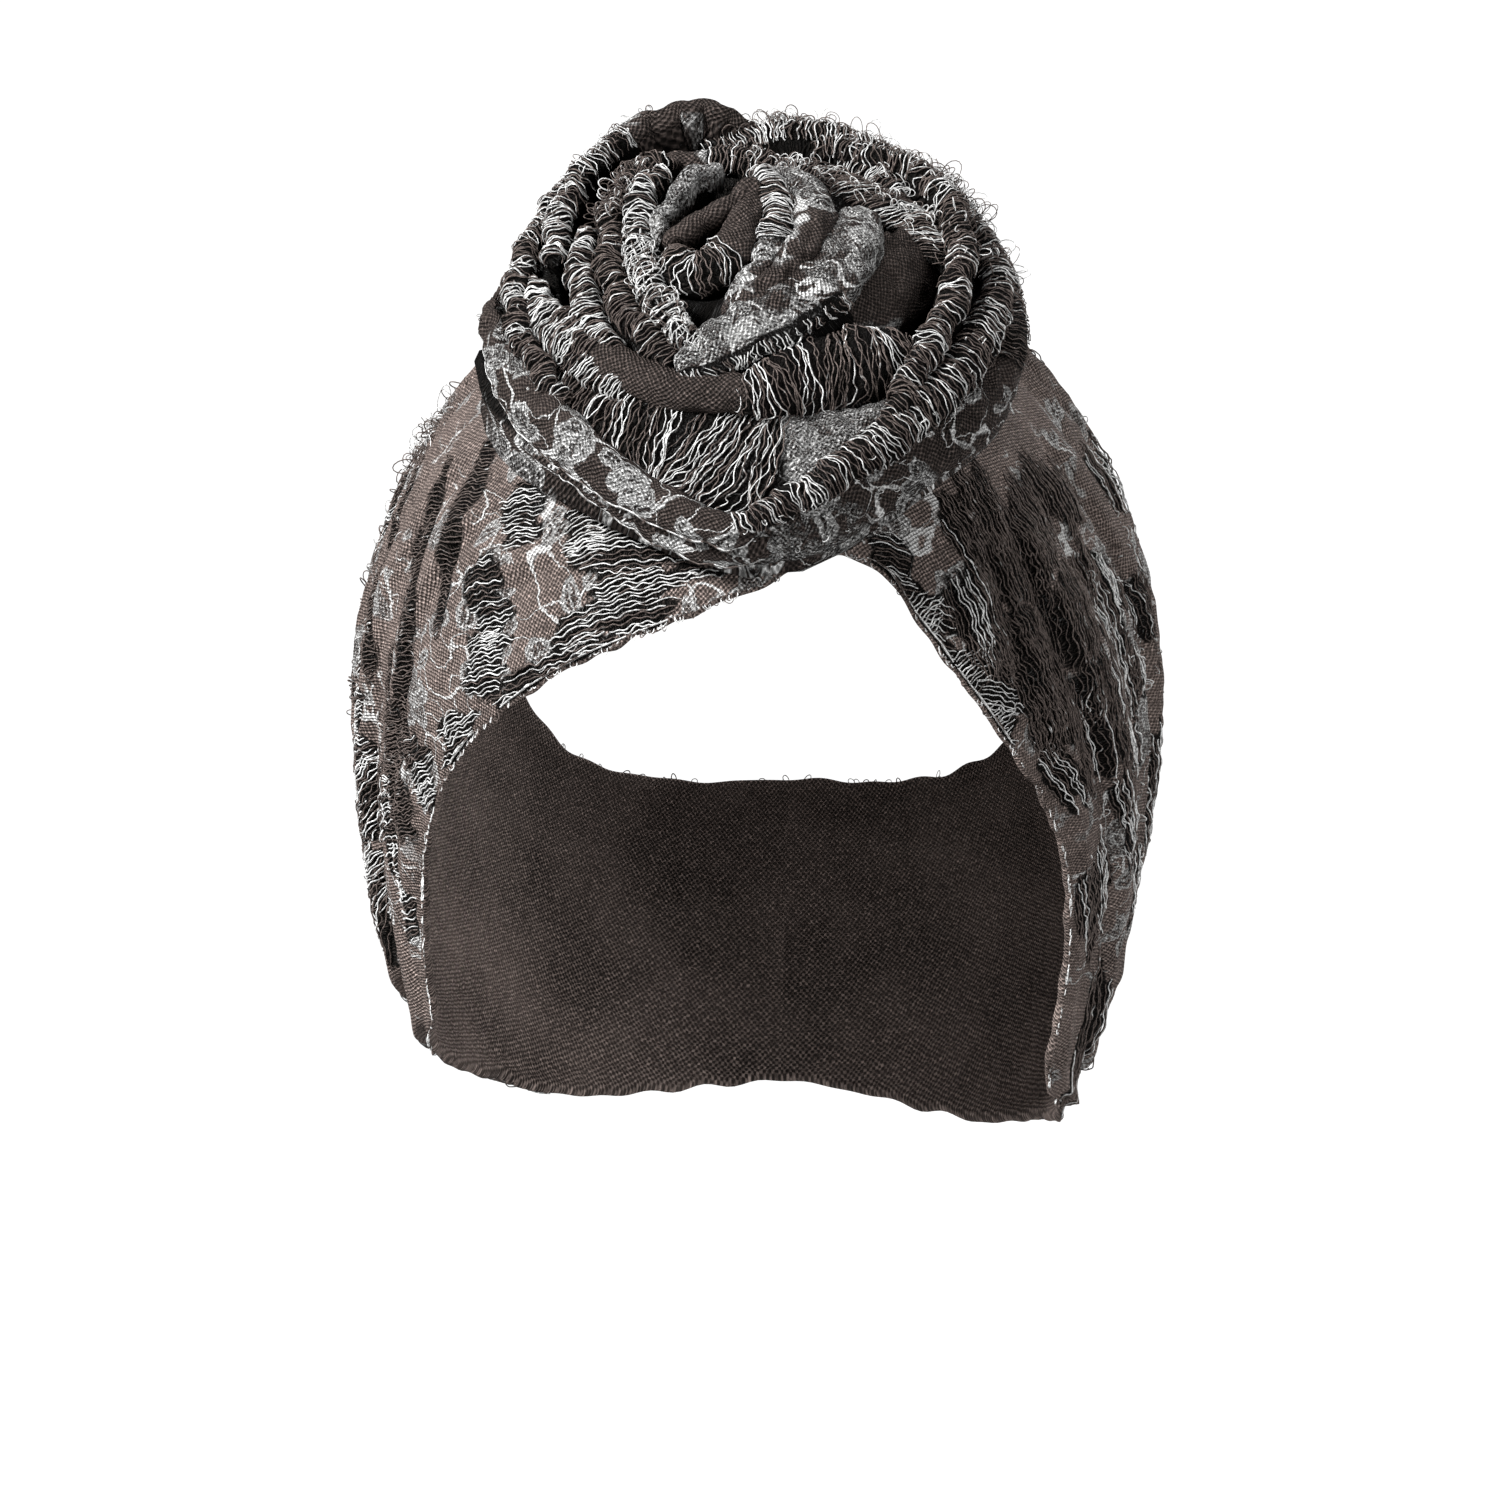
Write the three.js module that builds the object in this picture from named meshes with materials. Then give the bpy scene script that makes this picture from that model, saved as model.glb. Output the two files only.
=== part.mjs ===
// Wide cloth headband with a rosette wound from the same cloth, in the form it has on a head.
// Millimetres, +Z up, -Y is the front, +X is the wearer's left. The origin is where the band
// rests on the crown of the head, so everything but the rosette and the crown folds is below it.
import * as THREE from 'three';

// ---- driving dimensions -------------------------------------------------------------------
const HEAD = { halfWidth: 76, halfDepth: 97, crown: 83, chin: 189, taper: 1.904 };
const LOOP_TILT = 45;        // degrees that the band's loop leans back from the front
const WALL = 2.4;            // two layers of cloth with their gathers
const CLEARANCE = 0.35;      // between pieces that lie on or against each other

const LOOP_STEPS = 76;       // sections round the band
const TURN_STEP = 10;        // degrees between sections of the rosette

// Edges of the band, in degrees either way from its leaning loop, a row for each section.
// "at" goes round the loop: 0 over the brow, 90 the wearer's left, 180 the nape.
const BAND = [
  { at: -195, front: -7, rear: 29.4 }, { at: -180, front: -4, rear: 30 }, { at: -150, front: -17, rear: 27 },
  { at: -125, front: -36, rear: 34 }, { at: -106, front: -47.5, rear: 45 },
  { at: -89, front: -46.6, rear: 56 }, { at: -72, front: -43.6, rear: 60 },
  { at: -51, front: -40.7, rear: 62.5 }, { at: -30, front: -38.9, rear: 64 },
  { at: -11, front: -36.4, rear: 65 }, { at: -3, front: -34.3, rear: 65 },
  { at: 5, front: -31.4, rear: 65 }, { at: 15, front: -26.9, rear: 65 },
  { at: 19, front: -27.4, rear: 65 }, { at: 26, front: -32, rear: 64.5 },
  { at: 36, front: -36.5, rear: 64 }, { at: 50, front: -40.1, rear: 62.5 },
  { at: 75, front: -43, rear: 60 }, { at: 93, front: -46.3, rear: 55 },
  { at: 115, front: -49.6, rear: 40 }, { at: 131, front: -40, rear: 31 },
  { at: 150, front: -21, rear: 27 }, { at: 180, front: -4, rear: 30 },
  { at: 195, front: -7, rear: 29.4 },
];

// Pleats that run along the band: place across it (0 front edge, 1 rear edge), height, and
// how far each one wanders across the band on its way round.
const PLEATS = [
  { across: 0.035, height: 1.1, wander: 0.004 }, { across: 0.165, height: 2.2, wander: 0.014 },
  { across: 0.27, height: 1.7, wander: -0.012 }, { across: 0.38, height: 2.4, wander: 0.016 },
  { across: 0.5, height: 1.9, wander: -0.014 }, { across: 0.62, height: 2.2, wander: 0.012 },
  { across: 0.745, height: 1.8, wander: -0.012 }, { across: 0.87, height: 2.1, wander: 0.01 },
  { across: 0.97, height: 0.9, wander: 0.004 },
];
const INNER_STATIONS = 8;    // points across the band's inner face

// The rosette sits square to the loop's front direction.
const ROSETTE = { x: 3.3, y: -61, z: 59, eyeX: -9, eyeY: 6, lowest: -16, edge: 2.6 };
const FLAT_WITHIN = 50;      // distance from the rosette's axis inside which the band lies flat
const PLEATED_BEYOND = 58;

// The cloth is wound inwards in one spiral, anticlockwise from the wearer's right. Each row is a
// section: angle round the eye, reach of the crest from the eye, height of the crest, and depth
// of the hollow between this crest and the next one in.
const COLLAR = [
  { at: 190, reach: 42.5, top: 16.5, dip: 6 }, { at: 213, reach: 43.5, top: 17.5, dip: 6 },
  { at: 235, reach: 44.8, top: 18.5, dip: 5 }, { at: 254, reach: 48.8, top: 18, dip: 4 },
  { at: 269, reach: 54, top: 16.6, dip: 4 }, { at: 283, reach: 57.5, top: 16, dip: 4 },
  { at: 304, reach: 54.3, top: 18.5, dip: 4 }, { at: 329, reach: 54, top: 19, dip: 5 },
  { at: 354, reach: 55.8, top: 17.5, dip: 6 }, { at: 373, reach: 56.8, top: 15.6, dip: 6 },
  { at: 389, reach: 54.2, top: 19, dip: 5 }, { at: 407, reach: 50.8, top: 22, dip: 5 },
  { at: 424, reach: 47.6, top: 25, dip: 5 }, { at: 442, reach: 44.6, top: 24.4, dip: 5 },
  { at: 457, reach: 42, top: 29, dip: 9 }, { at: 470, reach: 41, top: 27.6, dip: 9 },
  { at: 484, reach: 40.4, top: 24, dip: 7 }, { at: 502, reach: 39.8, top: 21, dip: 5 },
  { at: 525, reach: 38, top: 19.5, dip: 5 },
];
const OUTER_TURN = [
  { at: 550, reach: 37.2, top: 20.5, dip: 5 }, { at: 580, reach: 36, top: 24, dip: 5 },
  { at: 610, reach: 34.2, top: 27, dip: 3 }, { at: 640, reach: 34.8, top: 27.7, dip: 2 },
  { at: 662, reach: 37, top: 27, dip: 2 }, { at: 680, reach: 40.5, top: 25.8, dip: 3 },
  { at: 697, reach: 45.2, top: 24.3, dip: 6 }, { at: 717, reach: 48.2, top: 23.6, dip: 9 },
  { at: 735, reach: 48.4, top: 23.4, dip: 8 }, { at: 750, reach: 46, top: 24, dip: 6 },
  { at: 768, reach: 42, top: 24.4, dip: 5 }, { at: 790, reach: 38, top: 24, dip: 5 },
  { at: 812, reach: 35, top: 24, dip: 6 }, { at: 838, reach: 34.6, top: 24.6, dip: 6 },
  { at: 862, reach: 32.6, top: 25, dip: 6 }, { at: 890, reach: 30.4, top: 25, dip: 5 },
];
const MIDDLE_TURN = [
  { at: 910, reach: 29, top: 25.4, dip: 5 }, { at: 940, reach: 28, top: 27.6, dip: 5 },
  { at: 972, reach: 29, top: 30, dip: 4 }, { at: 1008, reach: 29.2, top: 31.8, dip: 4 },
  { at: 1033, reach: 28.2, top: 32.5, dip: 4 }, { at: 1060, reach: 28.2, top: 32.3, dip: 4 },
  { at: 1090, reach: 31, top: 30.6, dip: 4 }, { at: 1115, reach: 32.4, top: 27.6, dip: 3 },
  { at: 1145, reach: 30, top: 27.4, dip: 4 }, { at: 1180, reach: 28, top: 30, dip: 4 },
  { at: 1210, reach: 25.4, top: 29.4, dip: 5 }, { at: 1240, reach: 22.4, top: 29.6, dip: 5 },
];
const INNER_TURN = [
  { at: 1270, reach: 20.4, top: 30.4, dip: 5 }, { at: 1310, reach: 22, top: 31, dip: 5 },
  { at: 1350, reach: 24.4, top: 31.2, dip: 5 }, { at: 1372, reach: 21.6, top: 32.4, dip: 4 },
  { at: 1404, reach: 17.8, top: 33.4, dip: 3 }, { at: 1440, reach: 17.8, top: 33, dip: 4 },
  { at: 1480, reach: 21, top: 31.6, dip: 5 }, { at: 1520, reach: 23.4, top: 31, dip: 5 },
  { at: 1560, reach: 21.6, top: 32, dip: 5 }, { at: 1600, reach: 16.6, top: 32, dip: 5 },
];
const BUD = [
  { at: 1630, reach: 14.8, top: 32.6, dip: 4 }, { at: 1680, reach: 14.4, top: 34.2, dip: 4 },
  { at: 1720, reach: 14.4, top: 34.8, dip: 4 }, { at: 1760, reach: 12, top: 35.6, dip: 4 },
  { at: 1800, reach: 10.4, top: 35.7, dip: 4 }, { at: 1850, reach: 13.6, top: 34.6, dip: 5 },
  { at: 1890, reach: 16.6, top: 34, dip: 6 }, { at: 1930, reach: 13.4, top: 33.6, dip: 6 },
  { at: 1990, reach: 9.8, top: 33.4, dip: 4 },
];
// Where the collar leaves the band: its foot's distance from the eye.
const COLLAR_FOOT = [
  { at: 190, foot: 38.5 }, { at: 225, foot: 39.5 }, { at: 250, foot: 43.5 }, { at: 269, foot: 51.5 },
  { at: 286, foot: 57.6 }, { at: 304, foot: 55 }, { at: 331, foot: 49 }, { at: 373, foot: 51 },
  { at: 420, foot: 44 }, { at: 457, foot: 38 }, { at: 500, foot: 35.5 }, { at: 550, foot: 35.5 },
];
const HOLLOW_NEARNESS = 0.62; // how near the outer crest the hollow between two crests lies
const CREST_ROLL = 3.2;       // width of the rolled crest
const BUD_STEP = 0.02;        // the bud's outer face steps in where the turn before it ends
const HEART = { top: 34.6, dent: 30.5, dentReach: 0.6 };

// ---- small helpers ------------------------------------------------------------------------
const DEG = Math.PI / 180;
const mix = (a, b, t) => a + (b - a) * t;

function smooth(from, to, x) {
  const t = Math.min(1, Math.max(0, (x - from) / (to - from)));
  return t * t * (3 - 2 * t);
}

// Value of a column between its rows, with no overshoot past either row.
function between(rows, column, at) {
  const last = rows.length - 1;
  const x = Math.min(rows[last].at, Math.max(rows[0].at, at));
  let i = 0;
  while (i < last - 1 && x > rows[i + 1].at) i += 1;
  const rise = (j) => {
    const k = Math.min(last - 1, Math.max(0, j));
    return (rows[k + 1][column] - rows[k][column]) / (rows[k + 1].at - rows[k].at);
  };
  const slope = (before, after) => (before * after <= 0 ? 0 : (2 * before * after) / (before + after));
  const width = rows[i + 1].at - rows[i].at;
  const t = (x - rows[i].at) / width;
  const startSlope = slope(rise(i - 1), rise(i)) * width;
  const endSlope = slope(rise(i), rise(i + 1)) * width;
  const a = rows[i][column];
  const b = rows[i + 1][column];
  return a + t * (startSlope + t * (3 * (b - a) - 2 * startSlope - endSlope
    + t * (2 * (a - b) + startSlope + endSlope)));
}

// ---- the head that the band fits ----------------------------------------------------------
const FORWARD = new THREE.Vector3(0, -Math.cos(LOOP_TILT * DEG), Math.sin(LOOP_TILT * DEG));
const BACKWARD = new THREE.Vector3(0, Math.sin(LOOP_TILT * DEG), Math.cos(LOOP_TILT * DEG));
const SIDEWAYS = new THREE.Vector3(1, 0, 0);
const HEAD_MIDDLE = new THREE.Vector3(0, 0, -HEAD.crown);

// Distance from the head's middle to its skin along a unit direction.
function headRadius(d) {
  if (d.z >= 0) {
    return 1 / Math.hypot(d.x / HEAD.halfWidth, d.y / HEAD.halfDepth, d.z / HEAD.crown);
  }
  let inside = 0;
  let outside = Math.min(2 * HEAD.halfDepth, HEAD.chin / -d.z);
  for (let i = 0; i < 40; i += 1) {
    const r = (inside + outside) / 2;
    const narrowing = 1 - (-d.z * r / HEAD.chin) ** HEAD.taper;
    if (Math.hypot(d.x * r / HEAD.halfWidth, d.y * r / HEAD.halfDepth) < narrowing) inside = r;
    else outside = r;
  }
  return inside;
}

function loopDirection(around, off) {
  const a = around * DEG;
  const o = off * DEG;
  return new THREE.Vector3()
    .addScaledVector(FORWARD, Math.cos(o) * Math.cos(a))
    .addScaledVector(SIDEWAYS, Math.cos(o) * Math.sin(a))
    .addScaledVector(BACKWARD, Math.sin(o));
}

function onHead(d, lift) {
  return d.clone().multiplyScalar(headRadius(d) + lift).add(HEAD_MIDDLE);
}

// ---- a closed body from sections ----------------------------------------------------------
// Each section is a ring of points, all rings alike in number. The body closes on its first
// section, or is capped with faces that outline(i) gives as flat (x, y) points.
function bodyFrom(sections, outline) {
  const faces = [];
  const face = (a, b, c) => {
    if (!(a.equals(b) || b.equals(c) || c.equals(a))) faces.push([a, b, c]);
  };
  const count = sections.length;
  const spans = outline ? count - 1 : count;
  for (let i = 0; i < spans; i += 1) {
    const here = sections[i];
    const next = sections[(i + 1) % count];
    for (let j = 0; j < here.length; j += 1) {
      const k = (j + 1) % here.length;
      face(here[j], next[j], next[k]);
      face(here[j], next[k], here[k]);
    }
  }
  if (outline) {
    for (const end of [0, count - 1]) {
      const flat = outline(end);
      const forwards = THREE.ShapeUtils.area(flat) > 0;
      for (const [a, b, c] of THREE.ShapeUtils.triangulateShape(flat, [])) {
        const ring = sections[end];
        const turned = (end === 0) === forwards;
        face(ring[a], turned ? ring[b] : ring[c], turned ? ring[c] : ring[b]);
      }
    }
  }
  const volume = faces.reduce((sum, [a, b, c]) => sum + a.dot(b.clone().cross(c)), 0);
  const positions = faces.flatMap(([a, b, c]) => (volume > 0 ? [a, b, c] : [a, c, b]))
    .flatMap((p) => [p.x, p.y, p.z]);
  const geometry = new THREE.BufferGeometry();
  geometry.setAttribute('position', new THREE.Float32BufferAttribute(positions, 3));
  geometry.computeVertexNormals();
  return geometry;
}

// ---- band ---------------------------------------------------------------------------------
function pleatPlace(pleat, around) {
  return pleat.across + pleat.wander * Math.sin(3 * around * DEG + 40 * pleat.across);
}

// Pleats die away where the rosette lies on them.
function pleatStrength(d) {
  if (d.dot(FORWARD) < 0) return 1;
  const p = d.clone().multiplyScalar(headRadius(d));
  return smooth(FLAT_WITHIN, PLEATED_BEYOND, Math.hypot(p.x - ROSETTE.x, p.dot(BACKWARD)));
}

function bandSection(around) {
  const front = between(BAND, 'front', around);
  const rear = between(BAND, 'rear', around);
  const at = (across) => loopDirection(around, mix(front, rear, across));
  const ring = [];
  const outer = (across, height) => {
    const d = at(across);
    ring.push(onHead(d, WALL + height * pleatStrength(d)));
  };
  const places = PLEATS.map((pleat) => pleatPlace(pleat, around));
  PLEATS.forEach((pleat, i) => {
    const before = i === 0 ? 0 : places[i - 1];
    const here = places[i];
    if (i > 0) {
      outer(mix(before, here, 0.5), 0);
      outer(mix(before, here, 0.78), pleat.height * 0.75);
    }
    outer(here, pleat.height);
    const after = i === PLEATS.length - 1 ? 1 : places[i + 1];
    if (i > 0 && i < PLEATS.length - 1) outer(mix(here, after, 0.24), pleat.height * 0.7);
  });
  ring.push(onHead(at(1), WALL * 0.45));
  for (let i = INNER_STATIONS; i >= 0; i -= 1) {
    ring.push(onHead(at(mix(0.012, 0.988, i / INNER_STATIONS)), 0));
  }
  ring.push(onHead(at(0), WALL * 0.45));
  return ring;
}

function headBand() {
  const sections = [];
  for (let i = 0; i < LOOP_STEPS; i += 1) sections.push(bandSection(-180 + (360 * i) / LOOP_STEPS));
  return bodyFrom(sections);
}

// ---- rosette ------------------------------------------------------------------------------
const SPIRAL = [...COLLAR, ...OUTER_TURN, ...MIDDLE_TURN, ...INNER_TURN, ...BUD];
const ROSETTE_MIDDLE = new THREE.Vector3(ROSETTE.x, ROSETTE.y, ROSETTE.z).add(HEAD_MIDDLE);

// A point of the rosette: angle round the eye, distance from it, and height above its base.
function rosettePoint(angle, reach, height) {
  return ROSETTE_MIDDLE.clone()
    .addScaledVector(SIDEWAYS, ROSETTE.eyeX + reach * Math.cos(angle * DEG))
    .addScaledVector(BACKWARD, ROSETTE.eyeY + reach * Math.sin(angle * DEG))
    .addScaledVector(FORWARD, height);
}

// Height of the band's flat outer face, plus the clearance, below a place in the rosette.
function seatHeight(angle, reach) {
  let below = ROSETTE.lowest - 20;
  let above = 20;
  for (let i = 0; i < 40; i += 1) {
    const height = (below + above) / 2;
    const p = rosettePoint(angle, reach, height).sub(HEAD_MIDDLE);
    const distance = p.length();
    if (distance > headRadius(p.divideScalar(distance)) + WALL + CLEARANCE) above = height;
    else below = height;
  }
  return above;
}

// The hollow between the crest at this angle and the crest one turn further in.
function hollow(at) {
  const outer = between(SPIRAL, 'reach', at);
  const inner = between(SPIRAL, 'reach', at + 360);
  const top = mix(between(SPIRAL, 'top', at + 360), between(SPIRAL, 'top', at), HOLLOW_NEARNESS);
  return { reach: mix(inner, outer, HOLLOW_NEARNESS), height: top - between(SPIRAL, 'dip', at) };
}

// Outline of one section of a turn as (reach, height) points: up the inner side, over the crest,
// down the outer side, and back along the seat.
function turnOutline(at, isCollar) {
  const crest = between(SPIRAL, 'reach', at);
  const top = between(SPIRAL, 'top', at);
  const inner = hollow(at);
  const rin = inner.reach + CLEARANCE / 2;
  const points = [[rin, inner.height]];
  points.push([mix(rin, crest, 0.45), mix(inner.height, top, 0.62)]);
  points.push([crest - CREST_ROLL * 0.35, top - CREST_ROLL * 0.12]);
  let foot;
  if (isCollar) {
    const rim = crest + ROSETTE.edge;
    foot = Math.min(between(COLLAR_FOOT, 'foot', at), rim - 1);
    foot = Math.max(foot, rin + 2);
    points.push([crest + ROSETTE.edge * 0.55, top - ROSETTE.edge * 0.25]);
    points.push([rim, top - ROSETTE.edge * 1.3]);
    const low = seatHeight(at, foot);
    const layer = Math.min(1, (rim - foot) / 4);
    points.push([mix(rim, foot, 0.6 * layer), mix(top, low, 0.42)]);
    points.push([mix(rim, foot, 0.15 * layer), mix(top, low, 0.6)]);
    points.push([mix(rim, foot, 0.6), mix(top, low, 0.86)]);
  } else {
    const outer = hollow(at - 360);
    foot = outer.reach - CLEARANCE / 2;
    points.push([crest + CREST_ROLL * 0.4, top - CREST_ROLL * 0.2]);
    points.push([mix(crest, foot, 0.55), mix(top, outer.height, 0.5)]);
    points.push([mix(crest, foot, 0.82), mix(top, outer.height, 0.82)]);
    points.push([foot, outer.height]);
  }
  for (const t of [0, 0.33, 0.67, 1]) {
    const reach = mix(foot, rin, t);
    points.push([reach, seatHeight(at, reach)]);
  }
  return points;
}

// Angles of one turn's sections, the last one short of a whole turn by a gap in millimetres.
function turnAngles(rows, gap) {
  const start = rows[0].at;
  const angles = [];
  for (let at = start; at < start + 360; at += TURN_STEP) angles.push(at);
  angles.push(start + 360 - gap / rows[rows.length - 1].reach / DEG);
  return angles;
}

function turn(rows) {
  const isCollar = rows === COLLAR;
  const angles = turnAngles(rows, CLEARANCE);
  const outlines = angles.map((at) => turnOutline(at, isCollar));
  const sections = outlines.map((points, i) => points.map(([r, h]) => rosettePoint(angles[i], r, h)));
  return bodyFrom(sections, (i) => outlines[i].map(([r, h]) => new THREE.Vector2(r, h)));
}

// The innermost turn closes on a dented heart, so it is one round body.
function bud() {
  const sections = turnAngles(BUD, BUD_STEP).map((at) => {
    const crest = between(SPIRAL, 'reach', at);
    const top = between(SPIRAL, 'top', at);
    const outer = hollow(at - 360);
    const rout = outer.reach - CLEARANCE / 2;
    const dent = crest * HEART.dentReach;
    const points = [[0, HEART.top - 1.4], [dent * 0.5, HEART.top], [dent, HEART.dent]];
    points.push([crest - CREST_ROLL * 0.4, top - CREST_ROLL * 0.25], [crest, top]);
    points.push([mix(crest, rout, 0.4), mix(top, outer.height, 0.35)], [rout, outer.height]);
    for (const t of [0, 0.5, 1]) points.push([mix(rout, 0, t), seatHeight(at, mix(rout, 0, t))]);
    return points.map(([r, h]) => rosettePoint(at, r, h));
  });
  return bodyFrom(sections);
}

// ---- the assembly -------------------------------------------------------------------------
const cloth = (color) => new THREE.MeshStandardMaterial({ color, roughness: 0.92, metalness: 0 });

function piece(name, geometry, color) {
  const mesh = new THREE.Mesh(geometry, cloth(color));
  mesh.name = name;
  return mesh;
}

const group = new THREE.Group();
group.add(
  piece('head_band', headBand(), 0x4d4543),
  piece('rosette_collar', turn(COLLAR), 0x5a5251),
  piece('rosette_outer_turn', turn(OUTER_TURN), 0x4a413f),
  piece('rosette_middle_turn', turn(MIDDLE_TURN), 0x6c6766),
  piece('rosette_inner_turn', turn(INNER_TURN), 0x514947),
  piece('rosette_bud', bud(), 0x3f3735),
);

export default group;
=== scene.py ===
import math

import bpy
import numpy as np
from bpy.props import FloatProperty, FloatVectorProperty, IntProperty, PointerProperty
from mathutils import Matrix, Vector


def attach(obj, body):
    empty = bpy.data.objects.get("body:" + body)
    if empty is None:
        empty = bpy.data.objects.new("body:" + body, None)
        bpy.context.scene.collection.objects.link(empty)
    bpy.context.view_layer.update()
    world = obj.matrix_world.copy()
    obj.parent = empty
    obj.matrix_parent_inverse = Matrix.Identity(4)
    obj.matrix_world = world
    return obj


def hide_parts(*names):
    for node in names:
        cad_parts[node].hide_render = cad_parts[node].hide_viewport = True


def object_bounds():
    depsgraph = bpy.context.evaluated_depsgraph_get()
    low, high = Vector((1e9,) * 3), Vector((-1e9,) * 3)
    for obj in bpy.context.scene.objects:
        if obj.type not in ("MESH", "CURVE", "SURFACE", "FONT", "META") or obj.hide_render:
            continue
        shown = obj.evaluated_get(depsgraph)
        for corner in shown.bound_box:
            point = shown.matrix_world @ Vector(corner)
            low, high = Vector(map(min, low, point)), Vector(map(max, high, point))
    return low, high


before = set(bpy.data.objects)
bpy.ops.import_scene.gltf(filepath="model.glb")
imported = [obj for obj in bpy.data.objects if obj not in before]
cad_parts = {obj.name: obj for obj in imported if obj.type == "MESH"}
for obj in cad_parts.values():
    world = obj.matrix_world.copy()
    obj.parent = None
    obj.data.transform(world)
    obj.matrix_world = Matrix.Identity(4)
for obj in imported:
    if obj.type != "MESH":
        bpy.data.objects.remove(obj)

bl_info = {
    "name": "Wide headband with wound rosette",
    "version": (1, 0, 0),
    "blender": (4, 5, 0),
    "location": "3D View > Sidebar > Headband",
    "description": "Builds a pleated cloth headband, its rosette and its loose yarns",
    "category": "Object",
}

CAD_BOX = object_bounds()
MM = 0.001

# ---- the head that the band fits, in millimetres ------------------------------------------
HALF_WIDTH, HALF_DEPTH, CROWN, CHIN, TAPER = 76.0, 97.0, 83.0, 189.0, 1.904
LOOP_TILT = math.radians(45)
FORWARD = np.array([0.0, -math.cos(LOOP_TILT), math.sin(LOOP_TILT)])
BACKWARD = np.array([0.0, math.sin(LOOP_TILT), math.cos(LOOP_TILT)])
SIDEWAYS = np.array([1.0, 0.0, 0.0])
HEAD_MIDDLE = np.array([0.0, 0.0, -CROWN])
MM_PER_DEGREE = math.radians(1) * 92.0      # along the band's loop
WALL = 2.4
ANY_PHASE = 6.28        # a whole turn, for phases drawn by chance
MAP_UNIT = 100.0        # millimetres of cloth to one unit of its map

# Edges of the band, in degrees either way from its leaning loop.
BAND_EDGES = {"columns": ("at", "front", "rear"), "rows": (
    (-195, -7, 29.4), (-180, -4, 30), (-150, -17, 27), (-125, -36, 34), (-106, -47.5, 45),
    (-89, -46.6, 56), (-72, -43.6, 60), (-51, -40.7, 62.5), (-30, -38.9, 64), (-11, -36.4, 65),
    (-3, -34.3, 65), (5, -31.4, 65), (15, -26.9, 65), (19, -27.4, 65), (26, -32, 64.5),
    (36, -36.5, 64), (50, -40.1, 62.5), (75, -43, 60), (93, -46.3, 55), (115, -49.6, 40),
    (131, -40, 31), (150, -21, 27), (180, -4, 30), (195, -7, 29.4))}

# How far the pleats fan out across the band on their way from the rosette to the nape.
FAN = {"columns": ("at", "shift"), "rows": (
    (-195, 0), (-180, 0), (-150, 0.12), (-120, 0.25), (-100, 0.2), (-75, 0.13), (-50, 0.05),
    (-35, 0), (20, 0), (32, 0.08), (45, 0.16), (70, 0.22), (100, 0.26), (125, 0.25),
    (150, 0.12), (180, 0), (195, 0))}

# Pleats: place across the band, height in millimetres, and how far each one wanders.
PLEATS = {"columns": ("across", "height", "wander"), "rows": (
    (0.035, 1.1, 0.004), (0.165, 3.5, 0.014), (0.27, 2.1, -0.012), (0.38, 3.5, 0.016),
    (0.5, 2.3, -0.014), (0.62, 2.8, 0.012), (0.745, 2.2, -0.012), (0.87, 2.5, 0.01),
    (0.97, 1.6, 0.004), (1.08, 2.2, 0.01), (1.2, 1.8, -0.01))}
FLAT_WITHIN, PLEATED_BEYOND = 50.0, 58.0    # distance from the rosette's middle
STEEP_FRONT, EASY_BACK = 3.2, 2.0           # how fast a pleat falls to its front and its rear
CREASES = 84

# Points over each hem: place across the band and share of the wall's height.
REAR_HEM = np.array([(1.004, 0.8), (1.006, 0.5), (1.004, 0.2)])
FRONT_HEM = np.array([(-0.004, 0.2), (-0.006, 0.5), (-0.004, 0.8)])
INNER_POINTS = 26

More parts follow.
